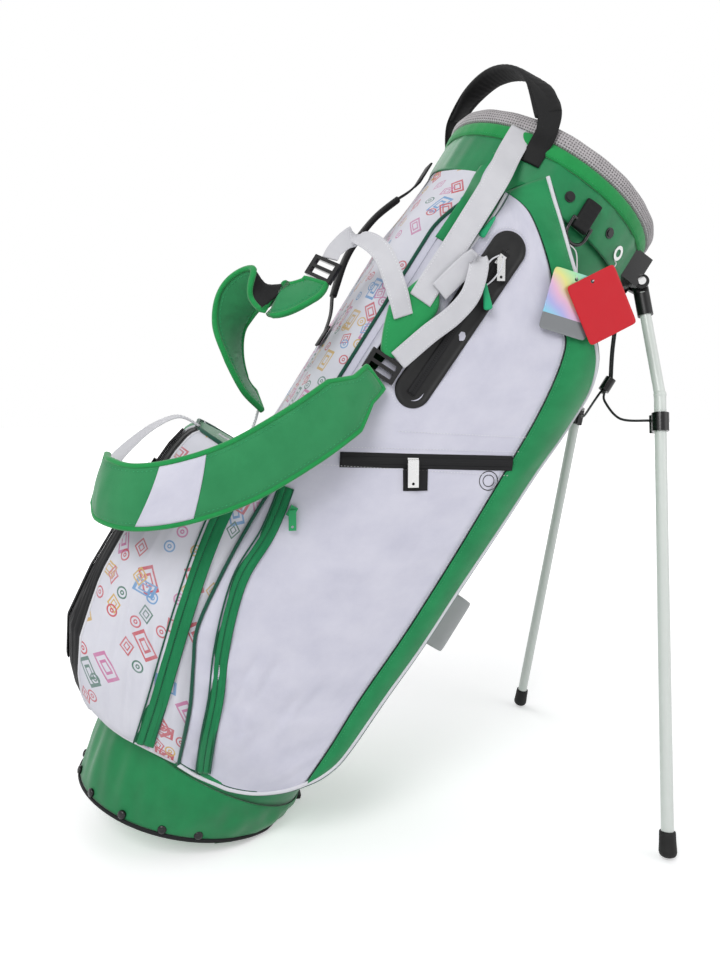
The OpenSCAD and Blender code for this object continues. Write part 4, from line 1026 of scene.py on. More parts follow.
for piece in (foot_pipe, lid_pipe):
    fit(piece, "white_webbing" if piece is foot_pipe else "shell_fabric")

zip_w = np.linspace(88, 372, 80)
zip_y = np.full(80, -66.0)
corner_x = -ball_reach(zip_w) - 3.0
black_band = sweep("ball_zip_band", bag_place(corner_x, zip_y, zip_w), (0, 1, 0), 0.019, 0.0018, tape_cloth, 14, 0.4)
black_lips = [
    sweep(
        f"ball_zip_lip_{tag}", bag_place(corner_x - 0.9, zip_y + s * 3.4, zip_w), (0, 1, 0), 0.0052, 0.0024, tape_cloth,
        12, 0.6
    ) for s,
    tag in ((-1, "front"), (1, "back"))
]
black_coil = teeth("ball_zip_coil", bag_place(corner_x - 1.2, zip_y, zip_w), (-1, 0, 0), coil_black, wide=2.0, high=0.8)
for piece in [black_band, black_coil] + black_lips:
    fit(piece, "black_webbing", "ball_zip_tape")


# ---- Spine panel ------------------------------------------------------------
# Printed cloth is sewn over the stays from the ball pouch up to the rim, with
# dark piping and a narrow white strip at each side.
def spine_ring(count, first, last):
    """Points (u, y) over the spine: a box with round corners, by distance from its middle as a share of 150 mm."""
    s = np.linspace(first, last, count) * 150
    away = np.abs(s)
    flat, arc = 50.0, 60.0
    angle = np.clip((away - flat) / arc, 0, np.pi / 2)
    u = -81 - arc * np.cos(angle)
    y = np.where(away < flat, away, flat + arc * np.sin(angle))
    return u, np.sign(s) * y


spine_w = np.linspace(385.5, 800, 130)
close_in = (1 - ease(700, 800, spine_w))[:, None]
for name, first, last, count, paint, seed in (("spine_print", -0.73, 0.73, 110, spine_print, 61), ("spine_strip_right", -0.80, -0.73, 8, white_cloth, 62),
                                              ("spine_strip_left", 0.73, 0.80, 8, white_cloth, 63)):
    u, y = spine_ring(count, first, last)
    K, Wm = np.broadcast_arrays(np.linspace(-110, 110, count)[None], spine_w[:, None])
    give = creases(K, Wm, 40, 1.0, 70, 12, (-100, 100, 400, 790), seed, 85, 25)
    give = give * np.cos(np.linspace(-1.45, 1.45, count))[None] * (1 if count > 20 else 0)
    rim_u = -136.0 * np.sqrt(np.maximum(1 - (y / 131.5) ** 2, 0.05))
    uu = rim_u[None] * (1 - close_in) + (u[None] - give * 0.8) * close_in
    piece = wall(
        grid_piece(
            name, bag_place(uu, y[None] + 0 * uu, spine_w[:, None] + 0 * uu), paint, away_from=bag_place(0, 0, 590)
        ),
        1.6
    )
    fit(piece, "printed_fabric" if count > 20 else "white_fabric", "spine_panel")
for edge_share, label in ((-0.73, "right"), (0.73, "left")):
    u, y = spine_ring(1, edge_share, edge_share)
    rim_u = -136.0 * np.sqrt(np.maximum(1 - (y / 131.5) ** 2, 0.05))
    line = bag_place(rim_u * (1 - close_in[:, 0]) + u * close_in[:, 0] - 0.8, y * 1.006, spine_w)
    piece = sweep(f"spine_piping_{label}", line, (0, 1, 0), 0.0042, 0.0042, pipe_dark, 10)
    fit(piece, "shell_fabric")

# Slanted white cloth that closes the step from the spine panel out to each side pouch
for side, label in ((-1, "right"), (1, "left")):
    near = smooth_path(
        [(-118, 384), (-112, 430), (-106, 500), (-102, 568), (-99, 637), (-98, 700), (-98, 760), (-96, 812)], 90
    )
    front_y = pouch_front(near[:, 0], near[:, 1]) - 1.2
    step = ease(690, 800, near[:, 1])
    u, y = spine_ring(1, 0.80, 0.80)
    back_u = u * (1 - step) - 136.0 * np.sqrt(1 - (y / 131.5) ** 2) * step
    k = np.linspace(0, 1, 14)[None]
    uu = near[:, 0, None] * (1 - k) + back_u[:, None] * k
    yy = front_y[:, None] * (1 - k) + y * k + 3.0 * np.sin(np.pi * k)
    piece = wall(
        grid_piece(
            f"shoulder_strip_{label}", bag_place(uu, side * yy, near[:, 1, None] + 0 * uu), white_cloth,
            away_from=bag_place(0, 0, 590)
        ),
        1.4
    )
    fit(piece, "white_fabric")


# ---- Rim and collar ---------------------------------------------------------
# The moulded collar holds four club wells. A foam cuff in grey mesh is sewn
# over its rim, with a bright ribbed binding and a satin panel under it.
mesh_grey = cloth("grey_spacer_mesh", (0.42, 0.39, 0.40), (0.10, 0.10, 0.10), 200, 0.2, 0.5, sheen=0.3)
mesh_tree = mesh_grey.node_tree
mesh_where = next(n for n in mesh_tree.nodes if n.bl_idname == "ShaderNodeTexCoord")
mesh_weave = next(n for n in mesh_tree.nodes if n.bl_idname == "ShaderNodeGroup")
# The holes of the mesh are painted dark: painted shade in its hollows, which the bump also sinks
holes = node_chain(mesh_tree, "ShaderNodeTexVoronoi", Vector=mesh_where.outputs["UV"], Scale=330.0, Randomness=0.12)
holes.voronoi_dimensions = "2D"
hole_mask = node_chain(mesh_tree, "ShaderNodeMapRange", Value=holes.outputs["Distance"])
hole_mask.inputs["From Min"].default_value, hole_mask.inputs["From Max"].default_value = 0.22, 0.36
mesh_mix = mesh_tree.nodes.new("ShaderNodeMix")
mesh_mix.data_type = "RGBA"
mesh_tree.links.new(hole_mask.outputs[0], mesh_mix.inputs["Factor"])
mesh_mix.inputs[6].default_value = (0.14, 0.13, 0.135, 1)
mesh_mix.inputs[7].default_value = (0.52, 0.49, 0.505, 1)
mesh_tree.links.new(mesh_mix.outputs[2], mesh_weave.inputs["Color"])
mesh_bump = next(n for n in mesh_tree.nodes if n.bl_idname == "ShaderNodeBump")
mesh_tree.links.new(hole_mask.outputs[0], mesh_bump.inputs["Height"])

rim_turn = np.linspace(0, 2 * np.pi, 200, endpoint=False)
cuff_profile = smooth_path(
    [
        (140.2, 853.6), (142.6, 857), (142.8, 864), (140.0, 869.6), (134, 872.2), (127.5, 870.8), (124.2, 866),
        (123.6, 859), (124.5, 853.6), (132, 853.4)
    ],
    34
)
lump = 0.35 * np.sin(rim_turn * 23) + 0.5 * np.sin(rim_turn * 9 + 1)
cuff_a = cuff_profile[None, :, 0] + lump[:, None] * (cuff_profile[None, :, 1] > 858)
cuff = grid_piece("rim_cuff", bag_place(cuff_a * np.cos(rim_turn)[:, None], (cuff_a - 6) * np.sin(rim_turn)[:, None], cuff_profile[None, :, 1] + 0 * cuff_a),
                  mesh_grey, wrap_i=True, wrap_j=True)
fit(cuff, "grey_mesh", "cuff_padding")

bright_cloth = cloth("bright_green_binding", (0.008, 0.30, 0.068), (0.004, 0.18, 0.042), 620, 0.35, 0.25, sheen=0.3)
for name, rows_, paint in (
    (
        "rim_binding",
        [
            (137.0, 836.8), (139.6, 837.5), (140.6, 841), (140.9, 846), (140.4, 851), (138.6, 853.2), (136.9, 853.2),
            (136.9, 845)
        ],
        bright_cloth
    ),
    (
        "rim_satin_panel",
        [
            (136.6, 789.5), (137.1, 795), (137.5, 805), (137.5, 820), (137.4, 830), (137.2, 838), (136.4, 838.5),
            (136.35, 815)
        ],
        satin
    ),
):
    profile = smooth_path(rows_ + rows_[:1], 30)[:-1]
    ripple = (
        0.5 * np.sin(rim_turn * 31 + 2) + 0.6 * np.sin(rim_turn * 13)
    ) if paint is satin else 0.2 * np.sin(rim_turn * 60)
    a = profile[None, :, 0] + np.clip(ripple, -0.2, 1)[:, None] * (profile[None, :, 0] > 137.05)
    piece = grid_piece(
        name,
        bag_place(a * np.cos(rim_turn)[:, None], (a - 6) * np.sin(rim_turn)[:, None], profile[None, :, 1] + 0 * a),
        paint, wrap_i=True, wrap_j=True
    )
    fit(piece, "bright_binding", "collar_band")
for name, a, w, thread in (
    ("rim_binding_stitching", 140.6, 839.2, thread_green), ("cuff_stitching", 141.6, 855.0, thread_white)
):
    ring = bag_place(a * np.cos(np.r_[rim_turn, 0]), (a - 6) * np.sin(np.r_[rim_turn, 0]), w)
    away = np.column_stack(
        [np.cos(np.r_[rim_turn, 0]), np.sin(np.r_[rim_turn, 0]), 0 * np.r_[rim_turn, 0]]
    ) @ np.array([ACROSS, SIDE, ALONG])
    stitch_rows(name, [(ring, away)], thread)


# ---- Dividers and handles ---------------------------------------------------
# Cloth panels divide the club wells below the moulded top; a black webbing
# handle arches over the rim, and a second one runs down the spine.
divider_cloth = cloth("divider_cloth", (0.030, 0.030, 0.032), (0.016, 0.016, 0.018), 600, 0.2, 0.2)
black_weave = cloth(
    "black_handle_webbing", (0.006, 0.006, 0.0065), (0.003, 0.003, 0.003), 420, 0.2, 0.3, gloss=0.7, sheen=0.0
)
for name, fixed, span in (("divider_across", "u", 121.0), ("divider_along", "y", 121.0)):
    t = np.linspace(-span, span, 60)[:, None]
    w_ = np.linspace(470, 812, 70)[None]
    wave = 2.2 * np.sin(t * 0.045 + w_ * 0.02) * np.clip((812 - w_) / 120, 0, 1) * np.clip((span - np.abs(t)) / 30, 0, 1)
    uu, yy = (wave, t + 0 * w_) if fixed == "u" else (t + 0 * w_, wave)
    panel = wall(grid_piece(name, bag_place(uu, yy, w_ + 0 * t), divider_cloth), 1.4)
    fit(panel, "divider_fabric", "divider_panels")


def strap(
    name, points, across_a, across_b, wide, thick, material, slot, replaces=None, count=110, square=0.34, narrow=None,
    body="bag"
):
    """A length of webbing or pad through bag-local points; its width direction turns from across_a to across_b."""
    path = smooth_path(points, count)
    k = np.linspace(0, 1, count)[:, None]
    turn = np.array(across_a) * (1 - k) + np.array(across_b) * k
    turn = turn[:, :1] * ACROSS + turn[:, 1:2] * SIDE + turn[:, 2:3] * ALONG
    width = wide / 1000 * np.ones(count) if narrow is None else np.interp(
        k[:, 0], narrow[0], np.array(narrow[1]) / 1000
    )
    piece = sweep(name, in_bag(path), turn, width, thick / 1000, material, 24, square)
    fit(piece, slot, body=body)
    if replaces:
        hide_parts(replaces)
    return piece, path, turn


strap("top_handle", [(-64, -117.8, 822), (-64.6, -118.6, 840), (-68, -127, 858), (-79, -125, 880), (-100, -105, 903), (-122, -66, 919), (-137, -20, 922),
                     (-143, 22, 909), (-141, 52, 884), (-131, 70, 862), (-119.4, 71.6, 842), (-117.8, 70.6, 820)],
      (0.87, -0.42, 0.1), (0.45, 0.89, 0.1), 26, 4.5, black_weave, "black_webbing", "top_handle", 150, 0.5,
      ([0, 0.12, 0.2, 0.8, 0.88, 1], [24, 24, 30, 30, 24, 24]))
grip_path = smooth_path(
    [(-76, -125.5, 874), (-100, -105, 903), (-122, -66, 919), (-137, -20, 922), (-143, 22, 909), (-141, 50, 886)], 90
)
grip_turn = np.linspace(0, 1, 90)[:, None]
grip_wide = np.array([0.87, -0.42, 0.1]) * (1 - grip_turn) + np.array([0.45, 0.89, 0.1]) * grip_turn
grip_wide = grip_wide[:, :1] * ACROSS + grip_wide[:, 1:2] * SIDE + grip_wide[:, 2:3] * ALONG
grip = sweep(
    "handle_grip", in_bag(grip_path), grip_wide, 0.030,
    0.0075 + 0.0012 * np.abs(np.sin(np.linspace(0, 26 * np.pi, 90))), black_weave, 24, 0.6
)
fit(grip, "black_webbing")

strap("spine_handle", [(-144.3, 0, 784), (-148.3, 0, 760), (-162, 0, 728), (-170, 0, 690), (-171, 0, 650), (-165, 0, 610), (-151, 0, 580), (-144.3, 0, 552)],
      (0, 1, 0), (0, 1, 0), 22, 2.5, black_weave, "black_webbing", "spine_handle", 110, 0.4)
strap("spine_grip", [(-156, 0, 741), (-167, 0, 708), (-171.5, 0, 670), (-170, 0, 640), (-160, 0, 600)],
                         (0, 1, 0), (0, 1, 0), 30, 8, black_weave, "black_webbing", None, 90, 0.6, ([0, 0.12, 0.88, 1], [23, 30, 30, 23]))
for w in (784, 553):
    tab = sweep(
        f"spine_handle_tab_{w}", bag_place(np.full(2, -145.2), np.zeros(2), np.array([w - 13.0, w + 13.0])), (0, 1, 0),
        0.034, 0.003, black_weave, 20, 0.3
    )
    fit(tab, "black_webbing")


# ---- Carrying straps --------------------------------------------------------
# White webbing comes down from the rim to a green hub; tails run from the hub
# through two ladder locks to the two shoulder pads.
webbing = cloth("white_strap_webbing", (0.63, 0.63, 0.66), (0.48, 0.48, 0.52), 620, 0.35, 0.22, sheen=0.2)
hub_cloth = cloth("hub_cloth", (0.012, 0.31, 0.085), (0.006, 0.19, 0.055), 700, 0.4, 0.12, gloss=0.5)
black_mould = mould_nodes(bpy.data.materials.new("black_moulding"), (0.005, 0.005, 0.0055), 0.36, 1500.0, 0.04, 0.02)


def strap_stitches(name, path, turn, offset, lift, material, first=0.02, last=0.98, **shape):
    """Two rows of stitches down a strap, offset mm from its middle and lift mm off it towards the outside."""
    p = in_bag(path)
    ahead = np.gradient(p, axis=0)
    ahead /= np.linalg.norm(ahead, axis=1)[:, None]
    wide = turn - ahead * (turn * ahead).sum(1)[:, None]
    wide /= np.linalg.norm(wide, axis=1)[:, None]
    deep = np.cross(ahead, wide)
    deep *= np.sign((deep * (p - bag_place(-60, 0, 500))).sum(1).mean())
    a, b = int(first * len(p)), int(last * len(p))
    rows = [(p[a:b] + wide[a:b] * side * offset / 1000 + deep[a:b] * lift / 1000, deep[a:b]) for side in (-1, 1)]
    return stitch_rows(name, rows, material, **shape)


_, web_path, web_turn = strap("strap_webbing", [(-87.0, -104.5, 853), (-87.5, -108.5, 838), (-88.5, -120, 814), (-89.5, -140, 785), (-90, -147.5, 760), (-90.5, -150.8, 725),
                                                       (-91, -152.8, 690), (-92, -152.8, 650), (-92, -152.8, 622)],
                                     (0.93, -0.36, 0), (1, 0, 0), 28, 2, webbing, "white_webbing", "strap_webbing", 120, 0.3, ([0, 1], [28, 26]))
strap_stitches("webbing_stitching", web_path, web_turn, 10.6, 1.1, thread_white, 0.15)

hub_outline = smooth_path(
    [
        (-116, 600), (-107, 632), (-96, 654), (-83, 645), (-70, 625), (-73, 592), (-80, 561), (-90, 554), (-98, 557),
        (-108, 577), (-116, 600)
    ],
    90
)[:-1]
hub_middle = hub_outline.mean(0)
hub_grid = []
for depth_y, share in [(-143.4, 1.0), (-147, 1.02), (-150.6, 1.0)] + [
    (-151.9 - 0.6 * (1 - s), s) for s in (0.93, 0.8, 0.55, 0.3, 0.02)
]:
    uw = hub_middle + (hub_outline - hub_middle) * share
    hub_grid.append(bag_place(uw[:, 0], np.full(len(uw), depth_y), uw[:, 1]))
hub = grid_piece("strap_hub", np.stack(hub_grid, 1), hub_cloth, wrap_i=True, away_from=bag_place(-93, -147, 605))
fit(hub, "shell_fabric", "strap_hub")
hub_edge = hub_middle + (hub_outline - hub_middle) * 0.88
hub_loop = np.vstack([hub_edge, hub_edge[:1]])
stitch_rows(
        "hub_stitching", [(bag_place(hub_loop[:, 0], np.full(len(hub_loop), -152.0), hub_loop[:, 1]), -SIDE)],
        thread_green
    )

tails = (
    (
        "strap_tail_front",
        [(-80, -155.4, 640), (-66, -161, 690), (-52, -163, 660), (-54, -160, 630), (-66, -156, 596), (-78, -153, 556)],
        (1, 0, 0.3), (1, 0, 0.3), 22
    ),
    (
        "strap_tail_rear",
        [
            (-98, -153.1, 598), (-122, -158, 618), (-154, -148, 642), (-182, -120, 646), (-191.8, -105.8, 628),
            (-191.8, -105.8, 613.6)
        ],
        (0.3, 0, 1), (0.7, -0.7, 0), 22
    ),
    (
        "strap_tail_low", [(-272, -107, 294), (-270, -97, 318), (-258, -92, 356), (-240, -90, 382), (-216, -88, 385.4)],
        (-0.7, 0.7, 0.1), (0, 1, 0), 20
    ),
    (
        "strap_tail_back",
        [(-167, -29, 438), (-161, -28, 416), (-162, -27, 397), (-172, -26, 386.8), (-190, -26, 385.7)], (0, 1, 0),
        (0, 1, 0), 20
    ),
)
for name, points, across_a, across_b, wide in tails:
    _, path, turn = strap(name, points, across_a, across_b, wide, 1.9, webbing, "white_webbing", "strap_tails", 90, 0.3)
    strap_stitches(name + "_stitching", path, turn, wide / 2 - 2.6, 1.0, thread_white)


# ---- Shoulder pads ----------------------------------------------------------
# Two padded green shoulder straps with a bright bound edge. The near one hangs
# in a long bow in front of the pouch, with a bare white panel sewn across it.
pad_cloth = cloth("green_pad_cloth", (0.026, 0.265, 0.092), (0.014, 0.165, 0.057), 760, 0.35, 0.16, sheen=0.35)
pad_lining = cloth("black_pad_lining", (0.010, 0.010, 0.011), (0.004, 0.004, 0.004), 420, 0.3, 0.3, sheen=0.0)


def pad_frame(path, turn):
    """World points of a pad's middle line, its width direction and the way its outer face looks."""
    p = in_bag(path)
    ahead = np.gradient(p, axis=0)
    ahead /= np.linalg.norm(ahead, axis=1)[:, None]
    wide = turn - ahead * (turn * ahead).sum(1)[:, None]
    wide /= np.linalg.norm(wide, axis=1)[:, None]
    return p, wide, np.cross(ahead, wide)


def pad(name, points, dirs, width, thick, node, outer_sign, puff_seed):
    """A quilted pad: outer face, lining, and bound edge. Returns the frame and width for what is sewn on it."""
    path = smooth_path(points, 130)
    k = np.linspace(0, 1, 130)[:, None]
    turn = np.array(dirs[0]) * (1 - k) + np.array(dirs[1]) * k
    turn = turn[:, :1] * ACROSS + turn[:, 1:2] * SIDE + turn[:, 2:3] * ALONG
    p, wide, deep = pad_frame(path, turn)
    deep = deep * outer_sign
    half = width(k[:, 0]) / 2000
    x = np.linspace(-1, 1, 41)[None]
    puff = thick / 2000 * (1 - np.abs(x) ** 5) ** 0.5 * (0.90 + 0.10 * np.cos(x * np.pi))
    ends = np.clip(np.minimum(k, 1 - k) / 0.03, 0, 1) ** 0.5
    K, X = np.broadcast_arrays(k * 600, x * 30)
    give = creases(K, X, 26, 0.8, 26, 7, (20, 580, -26, 26), puff_seed, 90, 25) / 1000
    top = np.maximum(puff * (0.35 + 0.65 * ends), 0.0012) + give * (1 - x**4)
    low = np.maximum(puff * (0.35 + 0.65 * ends), 0.0012)
    across = p[:, None] + wide[:, None] * (x * half[:, None])[..., None]
    outer = across + deep[:, None] * top[..., None]
    under = across - deep[:, None] * low[..., None]
    closed = np.concatenate([outer, under[:, ::-1]], 1)
    body = grid_piece(name, closed, pad_cloth, wrap_j=True, caps=True)
    body.data.materials.append(pad_lining)
    inner = np.zeros((129, 82), int)
    inner[:, 41:81] = 1
    body.data.polygons.foreach_set("material_index", np.r_[inner.ravel(), 1, 1].astype(np.int32))
    fit(body, "pad_fabric", node)
    edge = np.vstack([across[:, 0], across[-1, 1:-1:4], across[::-1, -1], across[0, -2:0:-4]])
    edge_out = np.vstack([deep, np.repeat(deep[-1:], 10, 0), deep[::-1], np.repeat(deep[:1], 10, 0)])
    binding = sweep(f"{name}_binding", edge, edge_out, 0.0072, 0.0058, bright_cloth, 12, 0.7, closed=True)
    fit(binding, "bright_binding")
    rows = []
    for s in (-1, 1):
        at = s * (1 - 5.2 / (half * 1000))
        high = np.array([np.interp(a, x[0], t) for a, t in zip(at, top)])
        rows.append((p + wide * (at * half)[:, None] + deep * (high + 0.0004)[:, None], deep))
    stitch_rows(f"{name}_stitching", rows, thread_green, 4.6, 2.9, 0.9, 0.6)
    return p, wide, deep, half, top, x[0], k[:, 0]


near_pad = pad("shoulder_pad_near", [(-89, -152.4, 527.8), (-96, -164, 505), (-108, -176, 474), (-128, -184, 430), (-160, -187, 372),
                                     (-198, -186, 326), (-234, -176, 296), (-262, -150, 284), (-273, -116, 286)],
               ((-0.8, 0, 0.5), (-0.3, 0, 1.0)), lambda k: np.interp(k, [0, 0.06, 0.14, 0.9, 1], [30, 32, 60, 62, 56]), 11, "shoulder_pad_right", -1, 71)
pad("shoulder_pad_far", [(-191.8, -105.8, 585), (-194, -107, 572), (-214, -102, 548), (-236, -84, 552), (-250, -66, 532), (-244, -54, 500),
                                   (-222, -46, 472), (-196, -40, 452), (-172, -30, 444)],
              ((0.7, -0.7, 0), (0, 1, 0.2)), lambda k: np.interp(k, [0, 0.1, 0.25, 1], [30, 36, 46, 50]), 8, "shoulder_pad_left", 1, 72)

p, wide, deep, half, top, x_line, k_line = near_pad
slant = np.linspace(-0.93, 0.93, 30)
patch_rows = []
for s in slant:
    k = np.linspace(0.60, 0.74, 34) - 0.045 * s
    high = np.interp(k, k_line, [np.interp(s, x_line, t) for t in top])
    mid = np.column_stack([np.interp(k, k_line, p[:, c]) for c in range(3)])
    over = np.column_stack([np.interp(k, k_line, wide[:, c]) for c in range(3)])
    out = np.column_stack([np.interp(k, k_line, deep[:, c]) for c in range(3)])
    patch_rows.append(mid + over * (s * np.interp(k, k_line, half))[:, None] + out * (high + 0.0009)[:, None])
patch_grid = np.stack(patch_rows, 1)
pad_patch = grid_piece("pad_patch", patch_grid, white_cloth, away_from=bag_place(-60, 0, 400))
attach(wall(pad_patch, 0.9), "bag")


# ---- Belly panel and leg rest ----------------------------------------------
# A padded green panel covers the front of the tube, with a groove for the
# actuator rod; a grey sleeve on it holds the folded legs.
for side, label in ((-1, "right"), (1, "left")):
    y = np.linspace(6.0, 62.0, 26)
    w_ = np.linspace(140.3, 715.7, 120)
    base_u = 132.3 * np.sqrt(np.clip(1 - (y / 126.3) ** 2, 0, 1))
    out_u = np.minimum(145.0, 145.0 - 0.5 * (16 - np.minimum(62 - y, 16)) ** 2 / 16) - 1.4 * np.clip((9 - y) / 3, 0, 1)
    out_u = np.maximum(out_u, base_u + 0.5)
    Y, Wm = np.broadcast_arrays(y[None], w_[:, None])
    give = creases(
        Wm, Y, 26, 0.9, 45, 10, (150, 700, 8, 60), 80 + side, 20, 60
    ) * np.sin(np.pi * np.clip((Y - 6) / 56, 0, 1))
    front = bag_place(out_u[None] + np.minimum(give, 0.0), side * Y, Wm)
    back = bag_place(base_u[None] + 0 * Wm, side * Y, Wm)
    piece = grid_piece(
        f"belly_panel_{label}", np.concatenate([front, back[:, ::-1]], 1), wall_cloth, wrap_j=True, caps=True
    )
    fit(piece, "shell_fabric", "belly_panel")
    edge_path = np.column_stack([out_u[19] + 0 * w_, side * 51.0 + 0 * w_, w_])
    stitch_rows(f"belly_stitching_{label}", [(in_bag(edge_path + [0.3, 0, 0]), ACROSS)], thread_white)

rest_grey = mould_nodes(bpy.data.materials.new("grey_leg_sleeve"), (0.42, 0.43, 0.44), 0.5, 1200.0, 0.08, 0.1)
rest_outline = smooth_path(
    [
        (145.4, -59), (158, -59.2), (172, -59), (180, -56), (184, -48), (184, -39), (184, -30), (180, -22), (172, -19),
        (158, -18.8), (145.4, -19)
    ],
    60
)
hole_turn = np.linspace(-np.pi * 0.98, np.pi * 0.98, 60)
hole = np.column_stack([165 - 9 * np.cos(hole_turn), -39 + 9 * np.sin(hole_turn)])
rest_w = np.r_[300, 300.4, 302, np.linspace(306, 364, 30), 368, 369.6, 370]
swell = np.interp(rest_w, [300, 302, 306, 364, 368, 370], [0.95, 0.985, 1, 1, 0.985, 0.95])
rest_middle = np.array([165.0, -39.0])
shell_rows = []
for w, s in zip(rest_w, swell):
    o = rest_middle + (rest_outline - rest_middle) * s
    o[:, 0] = np.maximum(o[:, 0], 145.4)
    shell_rows.append(bag_place(o[:, 0], o[:, 1], np.full(len(o), w)))
inner_rows = [bag_place(hole[:, 0], hole[:, 1], np.full(60, w)) for w in (370.0, 335.0, 300.0)]
sleeve = grid_piece(
    "leg_rest", np.array(shell_rows + inner_rows), rest_grey, wrap_i=True, wrap_j=True,
    away_from=bag_place(165, -39, 335)
)
fit(sleeve, "grey_mesh", "leg_rest")


# ---- Base skirt -------------------------------------------------------------
# A band of green cloth joins the tube to the base ring, which tips when the
# legs swing out; it spans the two and has a bound lower edge.
TIP = math.radians(15.4)
BASE_X = np.array([math.cos(TIP), 0, -math.sin(TIP)])
BASE_Z = np.array([math.sin(TIP), 0, math.cos(TIP)])


def base_place(x, y, z):
    """Row-frame point of a place in the base ring's own axes, in mm."""
    x, y, z = np.broadcast_arrays(np.asarray(x, float), np.asarray(y, float), np.asarray(z, float))
    return (RING + x[..., None] * BASE_X + y[..., None] * SIDE + z[..., None] * BASE_Z) / 1000


skirt_cloth = cloth(
    "green_skirt_cloth", (0.007, 0.235, 0.072), (0.003, 0.125, 0.040), 800, 0.45, 0.14, gloss=0.55, sheen=0.3
)
skirt_turn = np.linspace(0.115, 2 * np.pi - 0.115, 220)[:, None]
skirt_run = np.linspace(0, 1, 26)[None]
skirt_top = bag_place(133.7 * np.cos(skirt_turn), 127.7 * np.sin(skirt_turn), 50.5 + 0 * skirt_turn)
skirt_foot = base_place(127.9 * np.cos(skirt_turn), 125.9 * np.sin(skirt_turn), -14.5 + 0 * skirt_turn)
skirt_wave = 3.2 + 1.2 * np.sin(skirt_turn * 7 + 0.8) + 1.0 * np.sin(skirt_turn * 17 + 3 * skirt_run) + 0.8 * np.sin(skirt_turn * 29 - 5 * skirt_run)
skirt_out = np.cos(skirt_turn)[..., None] * (ACROSS + BASE_X) / 2 + np.sin(skirt_turn)[..., None] * SIDE
skirt_outer = skirt_top * (1 - skirt_run)[..., None] + skirt_foot * skirt_run[..., None] + skirt_out * (
    skirt_wave * np.sin(np.pi * skirt_run) ** 0.7
)[..., None] / 1000
skirt_outer[..., 2] = np.maximum(skirt_outer[..., 2], 0.0006)
skirt_inner = skirt_outer - skirt_out * 0.0013
skirt = grid_piece(
    "base_skirt", np.concatenate([skirt_outer, skirt_inner[:, ::-1]], 1), skirt_cloth, wrap_j=True, caps=True
)
fold_line = bag_place(0, 0, 34.0)
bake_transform(skirt)
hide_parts("base_skirt")
skirt_hem = base_place(128.9 * np.cos(skirt_turn[:, 0]), 126.9 * np.sin(skirt_turn[:, 0]), -15.4 + 0 * skirt_turn[:, 0])
skirt_hem[:, 2] = np.maximum(skirt_hem[:, 2], 0.0022)
skirt_edge = sweep("skirt_binding", skirt_hem, BASE_Z, 0.0042, 0.0026, tape_cloth, 10)
fit(skirt_edge, "black_webbing", body="base")


def snap_stud(name, degrees):
    """A round stud with a domed cap, on the skirt at that angle round the base ring."""
    t = math.radians(degrees)
    out_way = math.cos(t) * BASE_X + math.sin(t) * SIDE
    seat = base_place(126.4 * math.cos(t), 124.4 * math.sin(t), -9.0)
    run = np.array([0.0004, 0.0042, 0.0050, 0.0056, 0.0059])
    fat = np.array([0.0050, 0.0050, 0.0043, 0.0028, 0.0006])
    stud = sweep(name, seat + out_way * run[:, None], BASE_Z, fat * 2, fat * 2, snap_black, 20)
    fit(stud, "black_plastic", body="base")
    return stud


snap_black = mould_nodes(
    bpy.data.materials.new("black_snap"), (0.004, 0.004, 0.0045), 0.24, 1500.0, 0.03, 0.02, coat=0.25
)
studs = [snap_stud(f"base_snap_{degrees}", degrees) for degrees in (190, 214, 238, 260, 278, 82, 100, 122, 146, 170)]
for stud in studs:
    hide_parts("base_snaps")


# ---- Towel loop and hang tags -----------------------------------------------
# A webbing tab holds the towel ring. Two blank cards, one red and one with a
# rainbow foil face, hang from it and from the eyelet on loops of thin string.
BAND_A, BAND_B, LOOP_U, LOOP_W = 136.3, 130.3, 19.0, 806.0
loop_across = math.sqrt(1 - (LOOP_U / BAND_A) ** 2)
loop_out = np.array([LOOP_U / BAND_A**2, -loop_across / BAND_B, 0.0])
loop_out /= np.linalg.norm(loop_out)
loop_spot = np.array([LOOP_U, -BAND_B * loop_across, LOOP_W])
tab_path = np.array([loop_spot + loop_out * (0.4 + 4.3) + np.array([0, 0, w]) for w in np.linspace(18, -16, 24)])
loop_tab = sweep(
    "towel_loop", in_bag(tab_path), ACROSS, 0.0200, 0.0088 + 0.0004 * np.sin(np.linspace(0, 9 * np.pi, 24)),
    black_weave, 24, 0.4
)
fit(loop_tab, "black_webbing", "towel_loop")

red_card = mould_nodes(bpy.data.materials.new("red_card"), (0.55, 0.012, 0.022), 0.42, 500.0, 0.03, 0.02)
foil_card = bpy.data.materials.new("foil_card")
mould_nodes(foil_card, (0.5, 0.5, 0.5), 0.24, 700.0, 0.03, 0.0, metal=0.35, coat=0.5)
foil_tree = foil_card.node_tree
foil_where = next(n for n in foil_tree.nodes if n.bl_idname == "ShaderNodeTexCoord")
foil_axes = node_chain(foil_tree, "ShaderNodeSeparateXYZ", i0=foil_where.outputs["UV"])
foil_sum = maths(
    foil_tree, "ADD", maths(foil_tree, "MULTIPLY", foil_axes.outputs[0], 9.0),
    maths(foil_tree, "MULTIPLY", foil_axes.outputs[1], 13.0)
)
foil_noise = node_chain(foil_tree, "ShaderNodeTexNoise", Vector=foil_where.outputs["UV"], Scale=22.0, Detail=2.0)
foil_band = maths(
    foil_tree, "FRACT", maths(foil_tree, "ADD", foil_sum, maths(foil_tree, "MULTIPLY", foil_noise.outputs["Fac"], 0.35))
)
foil_ramp = node_chain(foil_tree, "ShaderNodeValToRGB", i0=foil_band)
foil_shades = [
    (0.75, 0.72, 0.25), (0.35, 0.72, 0.42), (0.25, 0.62, 0.78), (0.42, 0.42, 0.75), (0.75, 0.45, 0.62),
    (0.75, 0.72, 0.25)
]
while len(foil_ramp.color_ramp.elements) < len(foil_shades):
    foil_ramp.color_ramp.elements.new(0.5)
